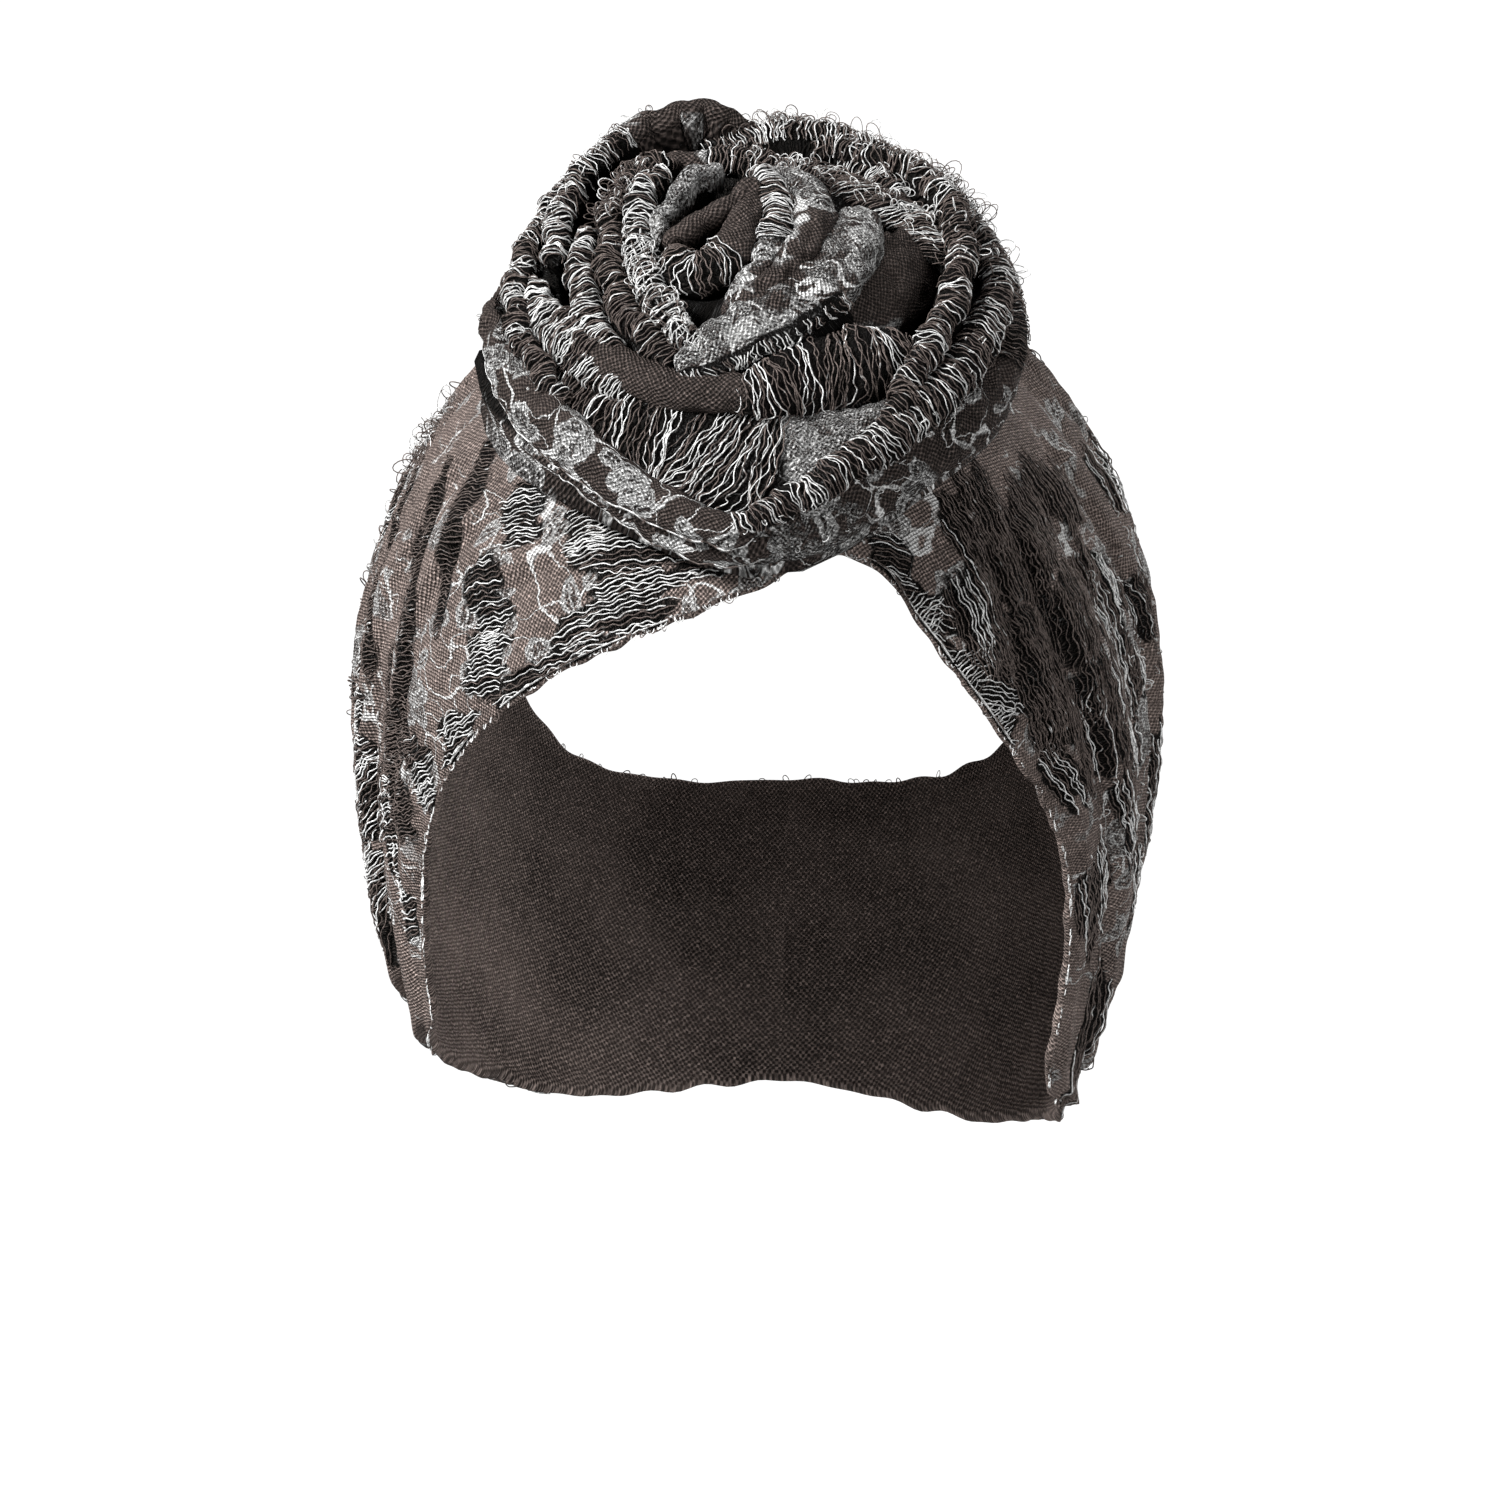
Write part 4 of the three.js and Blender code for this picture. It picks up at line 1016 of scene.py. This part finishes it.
# ---- band -----------------------------------------------------------------------------------
class HEADBAND_OT_band(bpy.types.Operator):
    """Make the wide pleated band, one closed wall of cloth with its hems"""
    bl_idname = "headband.band"
    bl_label = "Band"
    bl_options = {"REGISTER", "UNDO"}

    def execute(self, context):
        sizes = context.scene.headband_band
        count, outer = sizes.sections, sizes.across
        around = np.linspace(-180, 180, count, endpoint=False)
        u = np.radians(around)
        front, rear = band_edges(around)
        front = front + 0.22 * ripple(u, 0 * u, 21, waves=12, low=20, high=70)
        rear = rear + 0.25 * ripple(u, 0 * u, 22, waves=12, low=12, high=60)
        across = np.concatenate([np.linspace(0, 1, outer), REAR_HEM[:, 0],
                                 np.linspace(0.996, 0.004, INNER_POINTS), FRONT_HEM[:, 0]])
        ring, hem = len(across), len(REAR_HEM)
        a = np.repeat(around, ring)
        off = (front[:, None] + (rear - front)[:, None] * across[None, :]).ravel()
        held = np.clip(off, np.repeat(front, ring), np.repeat(rear, ring))
        lift, mask = (values.reshape(count, -1) for values in band_lift(a, held, ladder_rows()))
        row = lift.copy()
        row[:, outer:outer + hem] = lift[:, outer - 1:outer] * REAR_HEM[:, 1]
        row[:, outer + hem:-hem] = 0.25 * np.maximum(0, lift[:, outer + hem:-hem] - WALL)
        row[:, outer + hem] = row[:, -hem - 1] = 0.0
        row[:, -hem:] = lift[:, :1] * FRONT_HEM[:, 1]
        mask[:, outer:] = 0
        points = on_head(a, off, row.ravel())
        piece = new_object("pleated_band", points, ring_faces(count, ring, closed=True))
        ink = printed_mask(a, off).reshape(count, -1)
        ink[:, outer:] = -1.0
        point_values(piece, "ladder", mask.ravel())
        point_values(piece, "ink", ink.ravel())
        point_values(piece, "wash", (0.3 * ink * abs(ink)).ravel())
        places = np.stack([a * MM_PER_DEGREE, off * MM_PER_DEGREE], -1)
        cloth_map(piece, places, seam=360 * MM_PER_DEGREE)
        outward(piece)
        finish_piece(piece, cloth_material("band cloth"), "band_cloth", "head_band")
        return {"FINISHED"}


# ---- rosette --------------------------------------------------------------------------------
def folds_of(turn):
    """A turn's folds, each with its number in the whole rosette, which seeds its creases."""
    earlier = TURNS[:TURNS.index(turn)]
    return list(enumerate(FOLDS[turn], sum(len(FOLDS[other]) for other in earlier)))


def in_rosette(p):
    """Points from places in the rosette's own frame: right, up over its face, and out."""
    return (ROSETTE_MIDDLE + np.multiply.outer(EYE_X + p[..., 0], SIDEWAYS)
            + np.multiply.outer(EYE_Y + p[..., 1], BACKWARD)
            + np.multiply.outer(p[..., 2], FORWARD))


def fold_path(fold):
    """The fold's middle line at even steps, its frame at each step and its half width."""
    rows = np.array(fold["rows"], float)
    at = np.radians(rows[:, 0])
    knots = np.stack([rows[:, 1] * np.cos(at), rows[:, 1] * np.sin(at), rows[:, 2], rows[:, 3]], -1)
    padded = np.vstack([2 * knots[0] - knots[1], knots, 2 * knots[-1] - knots[-2]])
    fine = []
    for i in range(len(knots) - 1):
        p0, p1, p2, p3 = padded[i:i + 4]
        for t in np.linspace(0, 1, 16, endpoint=False):
            fine.append(0.5 * (2 * p1 + (p2 - p0) * t + (2 * p0 - 5 * p1 + 4 * p2 - p3) * t * t
                               + (3 * p1 - p0 - 3 * p2 + p3) * t ** 3))
    fine = np.array(fine + [knots[-1]])
    length = np.r_[0, np.cumsum(np.linalg.norm(np.diff(fine[:, :3], axis=0), axis=1))]
    s = np.linspace(0, length[-1], max(6, int(length[-1] / SECTION_STEP)))
    path = np.stack([np.interp(s, length, fine[:, i]) for i in range(4)], -1)
    half = path[:, 3]
    sway = 0.5 * np.sin(0.45 * s + 5 * fold["lean"]) + 0.3 * np.sin(1.05 * s + fold["lean"])
    path[:, 2] += 0.6 * sway * np.sin(0.3 * s)
    reach = np.maximum(np.linalg.norm(path[:, :2], axis=1), 4)
    path[:, :2] += path[:, :2] * (sway * np.clip(SLENDER - half, 0, 1) / reach)[:, None]
    along = unit(np.gradient(path[:, :3], axis=0))
    over = unit(np.stack([along[:, 1], -along[:, 0], 0 * s], -1))
    if (over[:, :2] * unit(path[:, :2])).sum() < 0:
        over = -over
    lean = math.radians(fold["lean"])
    facing = over * math.sin(lean) + np.array([0, 0, math.cos(lean)])
    facing = unit(facing - along * (facing * along).sum(1)[:, None])
    crossed = np.cross(facing, along)
    over = crossed if (crossed * over).sum() > 0 else -crossed
    ends = np.minimum(s, length[-1] - s) / np.maximum(half, 1.0)
    taper = np.sqrt(1 - (1 - np.clip(ends / 1.6, 0, 1)) ** 2) * 0.85 + 0.15
    return {"s": s, "middle": path[:, :3], "over": over, "facing": facing,
            "half": half * taper, "drop": 3.0 * (1 - taper), "round": fold["round"]}


def on_fold(path, s, arc, lift, seed=0, pucker=1.0):
    """Points over the crest of a fold: s along it, arc in radians from its crest."""
    def at(name):
        rows = path[name]
        if rows.ndim == 1:
            return np.interp(s, path["s"], rows)
        return np.stack([np.interp(s, path["s"], rows[:, i]) for i in range(3)], -1)
    half, over, facing = at("half"), at("over"), at("facing")
    creases = 0.11 * half ** 0.5 * ripple(0.4 * s, 3.2 * arc, seed + 1, waves=8, low=0.6, high=2.6)
    creases += pucker * 0.13 * ripple(3.0 * s, 1.4 * arc, seed + 2, waves=6, low=0.7, high=1.6)
    slender = 0.35 + 0.65 * np.clip(SLENDER - half, 0, 1)
    swell = 1 + slender * (0.11 * np.sin(0.48 * s + seed) + 0.07 * np.sin(1.15 * s + 2 * seed))
    out = (half * swell * np.sin(arc))[:, None] * over
    up = (half * path["round"] * (np.cos(arc) - 1) - at("drop"))[:, None] * facing
    normal = np.sin(arc)[:, None] * over + np.cos(arc)[:, None] * facing
    return at("middle") + out + up + normal * np.reshape(lift + creases, (-1, 1))


def along_fold(value, share):
    """A value of a fold, or its change from a first to a second value halfway along."""
    first, second = value if isinstance(value, tuple) else (value, value)
    return mix(first, second, smooth(0.22, 0.6, share))


def rung_share(fold, share):
    """1 where a fold has open rungs, and 0 where its cloth is whole."""
    if "white" not in fold:
        return 0 * share
    start, end = fold.get("bare", 0.0), fold.get("bare_after", 1.0)
    opened = smooth(start - 0.02, start + 0.02, share) if start else 1 + 0 * share
    return opened * (1 - smooth(end - 0.04, end + 0.04, share) if end < 1 else 1)


def fold_body(fold, seed):
    """One closed roll of cloth: its points, faces, places on the cloth, ladder, ink and wash."""
    path = fold_path(fold)
    arcs = np.linspace(-ARC_END, ARC_END, ARC_POINTS)
    s, half = path["s"], path["half"]
    count, ring = len(s), ARC_POINTS + 2
    grid_s, grid_arc = np.repeat(s, ARC_POINTS), np.tile(arcs, count)
    pucker = mix(0.35, 1.0, rung_share(fold, grid_s / s[-1]))
    top = on_fold(path, grid_s, grid_arc, 0 * grid_s, seed, pucker).reshape(count, ARC_POINTS, 3)
    foot = path["middle"] - path["facing"] * (FOLD_DEPTH + half * path["round"])[:, None]
    aside = path["over"] * (0.55 * half)[:, None]
    rings = np.concatenate([top, (foot + aside)[:, None], (foot - aside)[:, None]], 1)
    points = in_rosette(rings.reshape(-1, 3))
    faces = ring_faces(count, ring)
    faces.append(list(range(ring - 1, -1, -1)))
    faces.append([(count - 1) * ring + q for q in range(ring)])
    a, b, c = points[faces[0][:3]]
    if np.dot(np.cross(b - a, c - a), a - points[:ring].mean(0)) < 0:
        faces = [face[::-1] for face in faces]
    over = np.tile(np.r_[arcs, 3.0, -3.0], count) * np.repeat(half, ring)
    place = np.stack([np.repeat(s, ring), over], -1) + np.multiply(PRINT_SHIFT, seed)
    share = np.repeat(s / s[-1], ring)
    opened = rung_share(fold, share)
    first, last = fold.get("spread", (-1.0, 1.0))
    across = arcs / ARC_END
    covered = smooth(first - 0.1, first, across) * (1 - smooth(last, last + 0.1, across))
    # Open rungs on the crest take the near-black painted shade of the ladder gaps.
    ladder = opened * np.tile(np.r_[covered, 0, 0], count)
    wash = along_fold(fold.get("wash", 0.0), share) * (1 - 0.4 * opened)
    return points, faces, place, ladder, along_fold(fold["ink"], share), wash


def wound_core(node):
    """A copy of the turn's solid, sunk a little so that the folds lie over it, and painted
    near-black as painted shade where the folds cover it.
    """
    mesh = bpy.data.objects[node].data
    points = values_of(mesh.vertices, "co", 3, float) / MM
    _, where, back = np.unique(np.round(points, 2), axis=0, return_index=True, return_inverse=True)
    back = back.ravel()
    faces = [[int(back[v]) for v in face.vertices] for face in mesh.polygons]
    faces = [face for face in faces if len(set(face)) == len(face)]
    welded = points[where]
    d = welded - HEAD_MIDDLE
    reach = np.linalg.norm(d, axis=1)
    lift = reach - head_radius(d / reach[:, None]) - WALL
    points = welded - FORWARD * (SINK * smooth(2.0, 9.0, lift))[:, None]
    d = points - ROSETTE_MIDDLE
    side, back = d @ SIDEWAYS, d @ BACKWARD
    place = np.stack([CORE_RADIUS * np.arctan2(back, side), d @ FORWARD + np.hypot(side, back)], -1)
    # Painted shade: the core's covered part takes the near-black colour of the ladder gaps.
    core_shade = smooth(*(COLLAR_SHADED if node == "rosette_collar" else CORE_SHADED), lift)
    return points, faces, place, core_shade, 0 * core_shade + 0.5, 0 * core_shade


def slot_of(node):
    return "collar_cloth" if node == "rosette_collar" else "rosette_cloth"


class HEADBAND_OT_rosette(bpy.types.Operator):
    """Make the rosette, each turn as a wound core with its folds of cloth"""
    bl_idname = "headband.rosette"
    bl_label = "Rosette"
    bl_options = {"REGISTER", "UNDO"}

    def execute(self, context):
        for node in TURNS:
            sets = [wound_core(node)] + [fold_body(fold, seed) for seed, fold in folds_of(node)]
            total, all_faces = 0, []
            for points, faces, *_ in sets:
                all_faces += [[v + total for v in face] for face in faces]
                total += len(points)
            points, _, places, *layers = zip(*sets)
            piece = new_object("wound_" + node[8:], np.vstack(points), all_faces)
            cloth_map(piece, np.vstack(places), seam=CORE_RADIUS * 2 * math.pi)
            for name, values in zip(("ladder", "ink", "wash"), layers):
                point_values(piece, name, np.concatenate(values))
            slot = slot_of(node)
            finish_piece(piece, cloth_material(slot.replace("_", " ")), slot, node)
        return {"FINISHED"}


# ---- loose yarns ----------------------------------------------------------------------------
def yarn_tree():
    """Sweeps each line of points into a thin yarn that strays from its line."""
    if "loose yarns" in bpy.data.node_groups:
        return bpy.data.node_groups["loose yarns"]
    tree = bpy.data.node_groups.new("loose yarns", "GeometryNodeTree")
    for label, kind, default in (("Lines", "Geometry", None), ("Radius", "Float", 0.00017),
                                 ("Wander", "Float", 0.0004), ("Seed", "Int", 4),
                                 ("Yarn", "Material", None)):
        socket = tree.interface.new_socket(label, in_out="INPUT", socket_type="NodeSocket" + kind)
        if default is not None:
            socket.default_value = default
    tree.interface.new_socket("Yarns", in_out="OUTPUT", socket_type="NodeSocketGeometry")
    g = Graph(tree)
    given, result = g.add("NodeGroupInput").outputs, g.add("NodeGroupOutput").inputs
    free, thick = (g.result("GeometryNodeInputNamedAttribute", {"Name": name}, "Attribute")
                   for name in ("free", "thickness"))
    stray = g.result("ShaderNodeTexNoise", {
        "Vector": g.result("GeometryNodeInputPosition"), "W": given["Seed"], "Scale": 330.0,
        "Detail": 1.0}, "Color", noise_dimensions="4D")
    reach = Value(g, given["Wander"]) * 2.0 * free
    stray = g.scaled(g.vector("SUBTRACT", stray, (0.5, 0.5, 0.5)), reach)
    moved = g.result("GeometryNodeSetPosition", {"Geometry": given["Lines"], "Offset": stray})
    curve = g.result("GeometryNodeMeshToCurve", {"Mesh": moved})
    circle = {"Resolution": 3, "Radius": 1.0}
    yarn = g.result("GeometryNodeCurveToMesh", {
        "Curve": curve, "Scale": thick * given["Radius"], "Fill Caps": True,
        "Profile Curve": g.result("GeometryNodeCurvePrimitiveCircle", circle, "Curve")})
    yarn = g.result("GeometryNodeSetShadeSmooth", {"Geometry": yarn})
    yarn = g.result("GeometryNodeRealizeInstances", {"Geometry": yarn})
    yarn = g.result("GeometryNodeSetMaterial", {"Geometry": yarn, "Material": given["Yarn"]})
    g.feed(result["Yarns"], yarn)
    return tree


class YarnLines:
    """Collects lines of points for one piece, with the pale share, slack and thickness of each."""

    def __init__(self):
        self.points, self.layers = [], {"white": [], "free": [], "thickness": []}

    def add(self, points, **values):
        self.points.append(points)
        for name, value in values.items():
            self.layers[name].append(np.broadcast_to(value, len(points)))

    def build(self, name, slot):
        sizes = bpy.context.scene.headband_yarns
        edges, first = [], 0
        for points in self.points:
            edges += [(first + i, first + i + 1) for i in range(len(points) - 1)]
            first += len(points)
        lines = new_object(name + "_lines", np.vstack(self.points), [], edges)
        for layer, values in self.layers.items():
            point_values(lines, layer, np.concatenate(values))
        sweep = lines.modifiers.new("loose yarns", "NODES")
        sweep.node_group = yarn_tree()
        values = {"Radius": sizes.thickness, "Wander": sizes.wander, "Seed": sizes.seed,
                  "Yarn": yarn_material()}
        for item in sweep.node_group.interface.items_tree:
            if item.item_type == "SOCKET" and item.in_out == "INPUT" and item.name in values:
                sweep[item.identifier] = values[item.name]
        solid = lines.evaluated_get(bpy.context.evaluated_depsgraph_get())
        mesh = bpy.data.meshes.new_from_object(solid)
        mesh.name = name
        piece = bpy.data.objects.new(name, mesh)
        bpy.context.scene.collection.objects.link(piece)
        lines.modifiers.remove(sweep)
        bpy.data.objects.remove(lines)
        outward(piece)
        finish_piece(piece, yarn_material(), slot)


def crimp(dice, distance, number, stray=1.0):
    """Sideways sway of a crimped yarn: neighbours flow side by side, and now and then meet."""
    shared = (0.26 * np.sin(distance / 1.05 + 0.21 * number)
              + 0.13 * np.sin(distance / 0.47 + 0.5 * number + 2 * math.sin(0.13 * number)))
    extra = stray - 1
    meeting = (0.1 + 0.22 * extra) * np.sin(distance / (0.66 + 0.5 * extra) + 0.3 * number)
    pair = meeting if number % 2 else -meeting
    own = dice.uniform(0.02, 0.16) * np.sin(distance / dice.uniform(0.32, 0.55)
                                            + dice.uniform(0, ANY_PHASE))
    loose = extra * dice.normal(0, 0.35) * np.sin(distance / dice.uniform(1.2, 2.6)
                                                  + dice.uniform(0, ANY_PHASE))
    return shared / stray + pair + own + loose


def pale_or_brown(dice, white, place=0.0):
    """Share of white in a yarn. Pale yarns come in runs, where the print lies."""
    run = 0.26 * math.sin(0.7 * place) + 0.14 * math.sin(1.9 * place + 1) - 0.04
    return dice.uniform(0.55, 1.0) if dice.random() < white + run else dice.uniform(0.0, 0.35)


class HEADBAND_OT_band_yarns(bpy.types.Operator):
    """Lay loose crosswise yarns over the open ladders of the band"""
    bl_idname = "headband.band_yarns"
    bl_label = "Band yarns"
    bl_options = {"REGISTER", "UNDO"}

    def ladder_lines(self, dice, row, step):
        """Places round the loop and off it, for each yarn of one ladder."""
        turn = math.radians(row["lay"])
        lines, over = [], -row["half_stack"]
        while over < row["half_stack"]:
            middle, half = ladder_reach(row, over / row["half_stack"])
            start = middle - half * dice.uniform(0.8, 1.2)
            end = middle + half * dice.uniform(0.8, 1.2)
            along = np.arange(start, end, YARN_STEP)
            sway = over + crimp(dice, along, len(lines))
            x = along * math.cos(turn) - sway * math.sin(turn)
            y = along * math.sin(turn) + sway * math.cos(turn)
            around = row["at"] + x / MM_PER_DEGREE / math.cos(math.radians(row["off"]))
            lines.append((around, row["off"] + y / MM_PER_DEGREE))
            over += step * dice.uniform(0.7, 1.3)
        return lines

    def execute(self, context):
        pitch = context.scene.headband_yarns.pitch / MM
        ladders = ladder_rows()
        dice = np.random.default_rng(31)
        sides = {"right": YarnLines(), "left": YarnLines(), "rear": YarnLines()}
        for row in ladders:
            side = "right" if row["at"] < 0 else "left"
            if abs(row["at"]) > 100 or row["off"] > 22:
                side = "rear"
            lines = self.ladder_lines(dice, row, (1.5 if side == "rear" else 1.22) * pitch)
            around, off = (np.concatenate(places) for places in zip(*lines))
            held = np.clip(off, *band_edges(around))
            lift, _ = band_lift(around, held, ladders)
            points, normal = on_head(around, held, lift), loop_direction(around, held)
            end = 0
            for places, _ in lines:
                first, end = end, end + len(places)
                if len(places) < 4:
                    continue
                bow = np.sin(np.linspace(0, math.pi, len(places)))
                raised = 0.1 + (0.3 + 0.5 * dice.random()) * bow
                line = points[first:end] + normal[first:end] * raised[:, None]
                white = pale_or_brown(dice, row["white"], first * 0.02 + row["at"])
                sides[side].add(line, white=white, free=np.clip(bow * 1.6, 0, 1),
                                thickness=dice.uniform(1.0, 1.5))
        for side, lines in sides.items():
            lines.build("band_yarns_" + side, "band_cloth")
        return {"FINISHED"}


class HEADBAND_OT_rosette_yarns(bpy.types.Operator):
    """Lay crosswise yarns over the open folds of the rosette"""
    bl_idname = "headband.rosette_yarns"
    bl_label = "Rosette yarns"
    bl_options = {"REGISTER", "UNDO"}

    def add_rungs(self, lines, dice, fold, path, seed, pitch):
        """Crosswise yarns from one side of a fold to the other, all along it."""
        length, stray = path["s"][-1], fold.get("stray", 1.0)
        s, number = 0.4, 0
        while s < length - 0.4:
            share = s / length
            half = float(np.interp(s, path["s"], path["half"]))
            first, last = (RUNG_REACH * edge for edge in fold.get("spread", (-1.0, 1.0)))
            first, last = first + 0.4 * dice.random() ** 2, last - 0.4 * dice.random() ** 2
            arc = np.linspace(first, last, max(6, int((last - first) * half / YARN_STEP)))
            distance = arc * half
            slant = float(along_fold(fold.get("rungs", 0), share))
            slant += RUNG_SWAY * math.sin(0.24 * s + 2 * seed)
            tilt = math.tan(math.radians(slant)) + dice.normal(0, 0.06 * stray)
            along = s + tilt * distance + crimp(dice, distance, number, stray)
            number += 1
            if rung_share(fold, np.array([share]))[0] > 0.5:
                bow = np.cos(arc / ARC_END * math.pi / 2)
                lift = 0.12 + (0.2 + 0.35 * dice.random()) * bow
                points = in_rosette(on_fold(path, np.clip(along, 0, length), arc, lift, seed))
                white = pale_or_brown(dice, float(along_fold(fold["white"], share)), s + seed)
                lines.add(points, white=white, free=bow, thickness=dice.uniform(0.75, 1.2))
            s += pitch * dice.choice([0.5, 0.8, 0.95, 1.1, 1.3])

    def execute(self, context):
        pitch = context.scene.headband_yarns.pitch / MM
        dice = np.random.default_rng(57)
        for node in TURNS:
            lines = YarnLines()
            for seed, fold in folds_of(node):
                path = fold_path(fold)
                for arc in fold.get("seams", ()):
                    seam = on_fold(path, path["s"], arc + 0 * path["s"], 0.1, seed, 0.35)
                    lines.add(in_rosette(seam), **SEAM_YARN)
                if "white" in fold:
                    self.add_rungs(lines, dice, fold, path, seed, pitch)
            lines.build("yarns_" + node[8:], slot_of(node))
        return {"FINISHED"}


class HEADBAND_OT_frayed_loops(bpy.types.Operator):
    """Let small loops of yarn stand out from the hems and from worn places"""
    bl_idname = "headband.frayed_loops"
    bl_label = "Frayed loops"
    bl_options = {"REGISTER", "UNDO"}

    def add_loop(self, lines, dice, foot, away, beside, size, white, thickness):
        """A small open loop that stands on its foot."""
        width, height = size * dice.uniform(0.6, 1.2), size * dice.uniform(0.6, 1.3)
        t = np.linspace(-0.25 * math.pi, 1.25 * math.pi, 12)
        points = (foot + np.multiply.outer(np.cos(t) * width / 2, beside)
                  + np.multiply.outer((np.sin(t) + 0.7) * height / 1.7, away))
        lines.add(points, white=pale_or_brown(dice, white), free=1.0,
                  thickness=dice.uniform(*thickness))

    def band_loops(self, dice):
        spots = [(dice.uniform(-reach, reach), edge, dice.uniform(0.8, 1.8))
                 for edge, reach, count in HEM_LOOPS for _ in range(count)]
        spots += [(at + dice.normal(0, spread / 2), off + dice.normal(0, spread / 2),
                   size * dice.uniform(0.6, 1.2))
                  for at, off, spread, count, size in WORN_PLACES for _ in range(count)]
        around = np.array([spot[0] for spot in spots])
        front, rear = band_edges(around)
        off = np.array([front[i] if edge == "front" else rear[i] if edge == "rear" else edge
                        for i, (_, edge, _) in enumerate(spots)])
        off = np.clip(off, front, rear)
        lift = 0.8 * band_lift(around, off, ladder_rows())[0]
        feet, normals = on_head(around, off, lift), loop_direction(around, off)
        ahead = unit(on_head(around + 0.5, off, lift) - feet)
        over = unit(on_head(around, off + 0.5, lift) - feet)
        lines = YarnLines()
        for i, (_, edge, size) in enumerate(spots):
            if edge == "front":
                away = 0.5 * normals[i] - over[i]
            elif edge == "rear":
                away = 0.5 * normals[i] + over[i]
            else:
                away = 0.5 * normals[i] + 0.4 * dice.normal(0, 1, 3)
            beside = ahead[i] * math.cos(dice.uniform(-1, 1)) + over[i] * dice.uniform(-0.7, 0.7)
            self.add_loop(lines, dice, feet[i], unit(away), beside, size, 0.5, (0.75, 1.15))
        lines.build("frayed_loops_band", "band_cloth")

    def rosette_loops(self, dice):
        numbered = {fold["name"]: (seed, fold) for node in TURNS for seed, fold in folds_of(node)}
        lines = YarnLines()
        for name, start, end, count, size, white in WORN_FOLDS:
            seed, fold = numbered[name]
            path = fold_path(fold)
            for _ in range(count):
                s = path["s"][-1] * dice.uniform(start, end)
                arc = dice.uniform(-0.9, 1.4)
                foot, ahead, aside = in_rosette(on_fold(
                    path, np.array([s, s + 0.3, s]), np.array([arc, arc, arc + 0.1]), np.zeros(3),
                    seed))
                away = np.cross(ahead - foot, aside - foot)
                away = unit(away if away @ FORWARD > 0 else -away) + 0.5 * dice.normal(0, 1, 3)
                self.add_loop(lines, dice, foot, unit(away), unit(ahead - foot),
                              size * dice.uniform(0.5, 1.2), white, (0.6, 0.95))
        lines.build("frayed_loops_rosette", "rosette_cloth")

    def execute(self, context):
        dice = np.random.default_rng(77)
        self.band_loops(dice)
        self.rosette_loops(dice)
        return {"FINISHED"}


class HEADBAND_PT_panel(bpy.types.Panel):
    """Sizes, colours and pieces of the headband"""
    bl_idname = "HEADBAND_PT_panel"
    bl_label = "Headband"
    bl_space_type = "VIEW_3D"
    bl_region_type = "UI"
    bl_category = "Headband"

    def draw(self, context):
        for label, group in GROUPS.items():
            box = self.layout.box()
            box.label(text=label)
            for name in group.bl_rna.properties.keys():
                if name not in ("rna_type", "name"):
                    box.prop(getattr(context.scene, "headband_" + label.lower()), name)
        for operator in OPERATORS:
            self.layout.operator(operator.bl_idname)


GROUPS = {"Cloth": HeadbandCloth, "Band": HeadbandBand, "Yarns": HeadbandYarns,
          "Stage": HeadbandStage}
OPERATORS = (HEADBAND_OT_stage, HEADBAND_OT_band, HEADBAND_OT_rosette, HEADBAND_OT_band_yarns,
             HEADBAND_OT_rosette_yarns, HEADBAND_OT_frayed_loops)


def register():
    for label, group in GROUPS.items():
        bpy.utils.register_class(group)
        setattr(bpy.types.Scene, "headband_" + label.lower(), PointerProperty(type=group))
    for operator in OPERATORS:
        bpy.utils.register_class(operator)
    bpy.utils.register_class(HEADBAND_PT_panel)


def unregister():
    bpy.utils.unregister_class(HEADBAND_PT_panel)
    for operator in reversed(OPERATORS):
        bpy.utils.unregister_class(operator)
    for label, group in GROUPS.items():
        delattr(bpy.types.Scene, "headband_" + label.lower())
        bpy.utils.unregister_class(group)


def main():
    register()
    bpy.ops.headband.stage()
    bpy.ops.headband.band()
    bpy.ops.headband.rosette()
    bpy.ops.headband.band_yarns()
    bpy.ops.headband.rosette_yarns()
    bpy.ops.headband.frayed_loops()


if __name__ == "__main__":
    main()
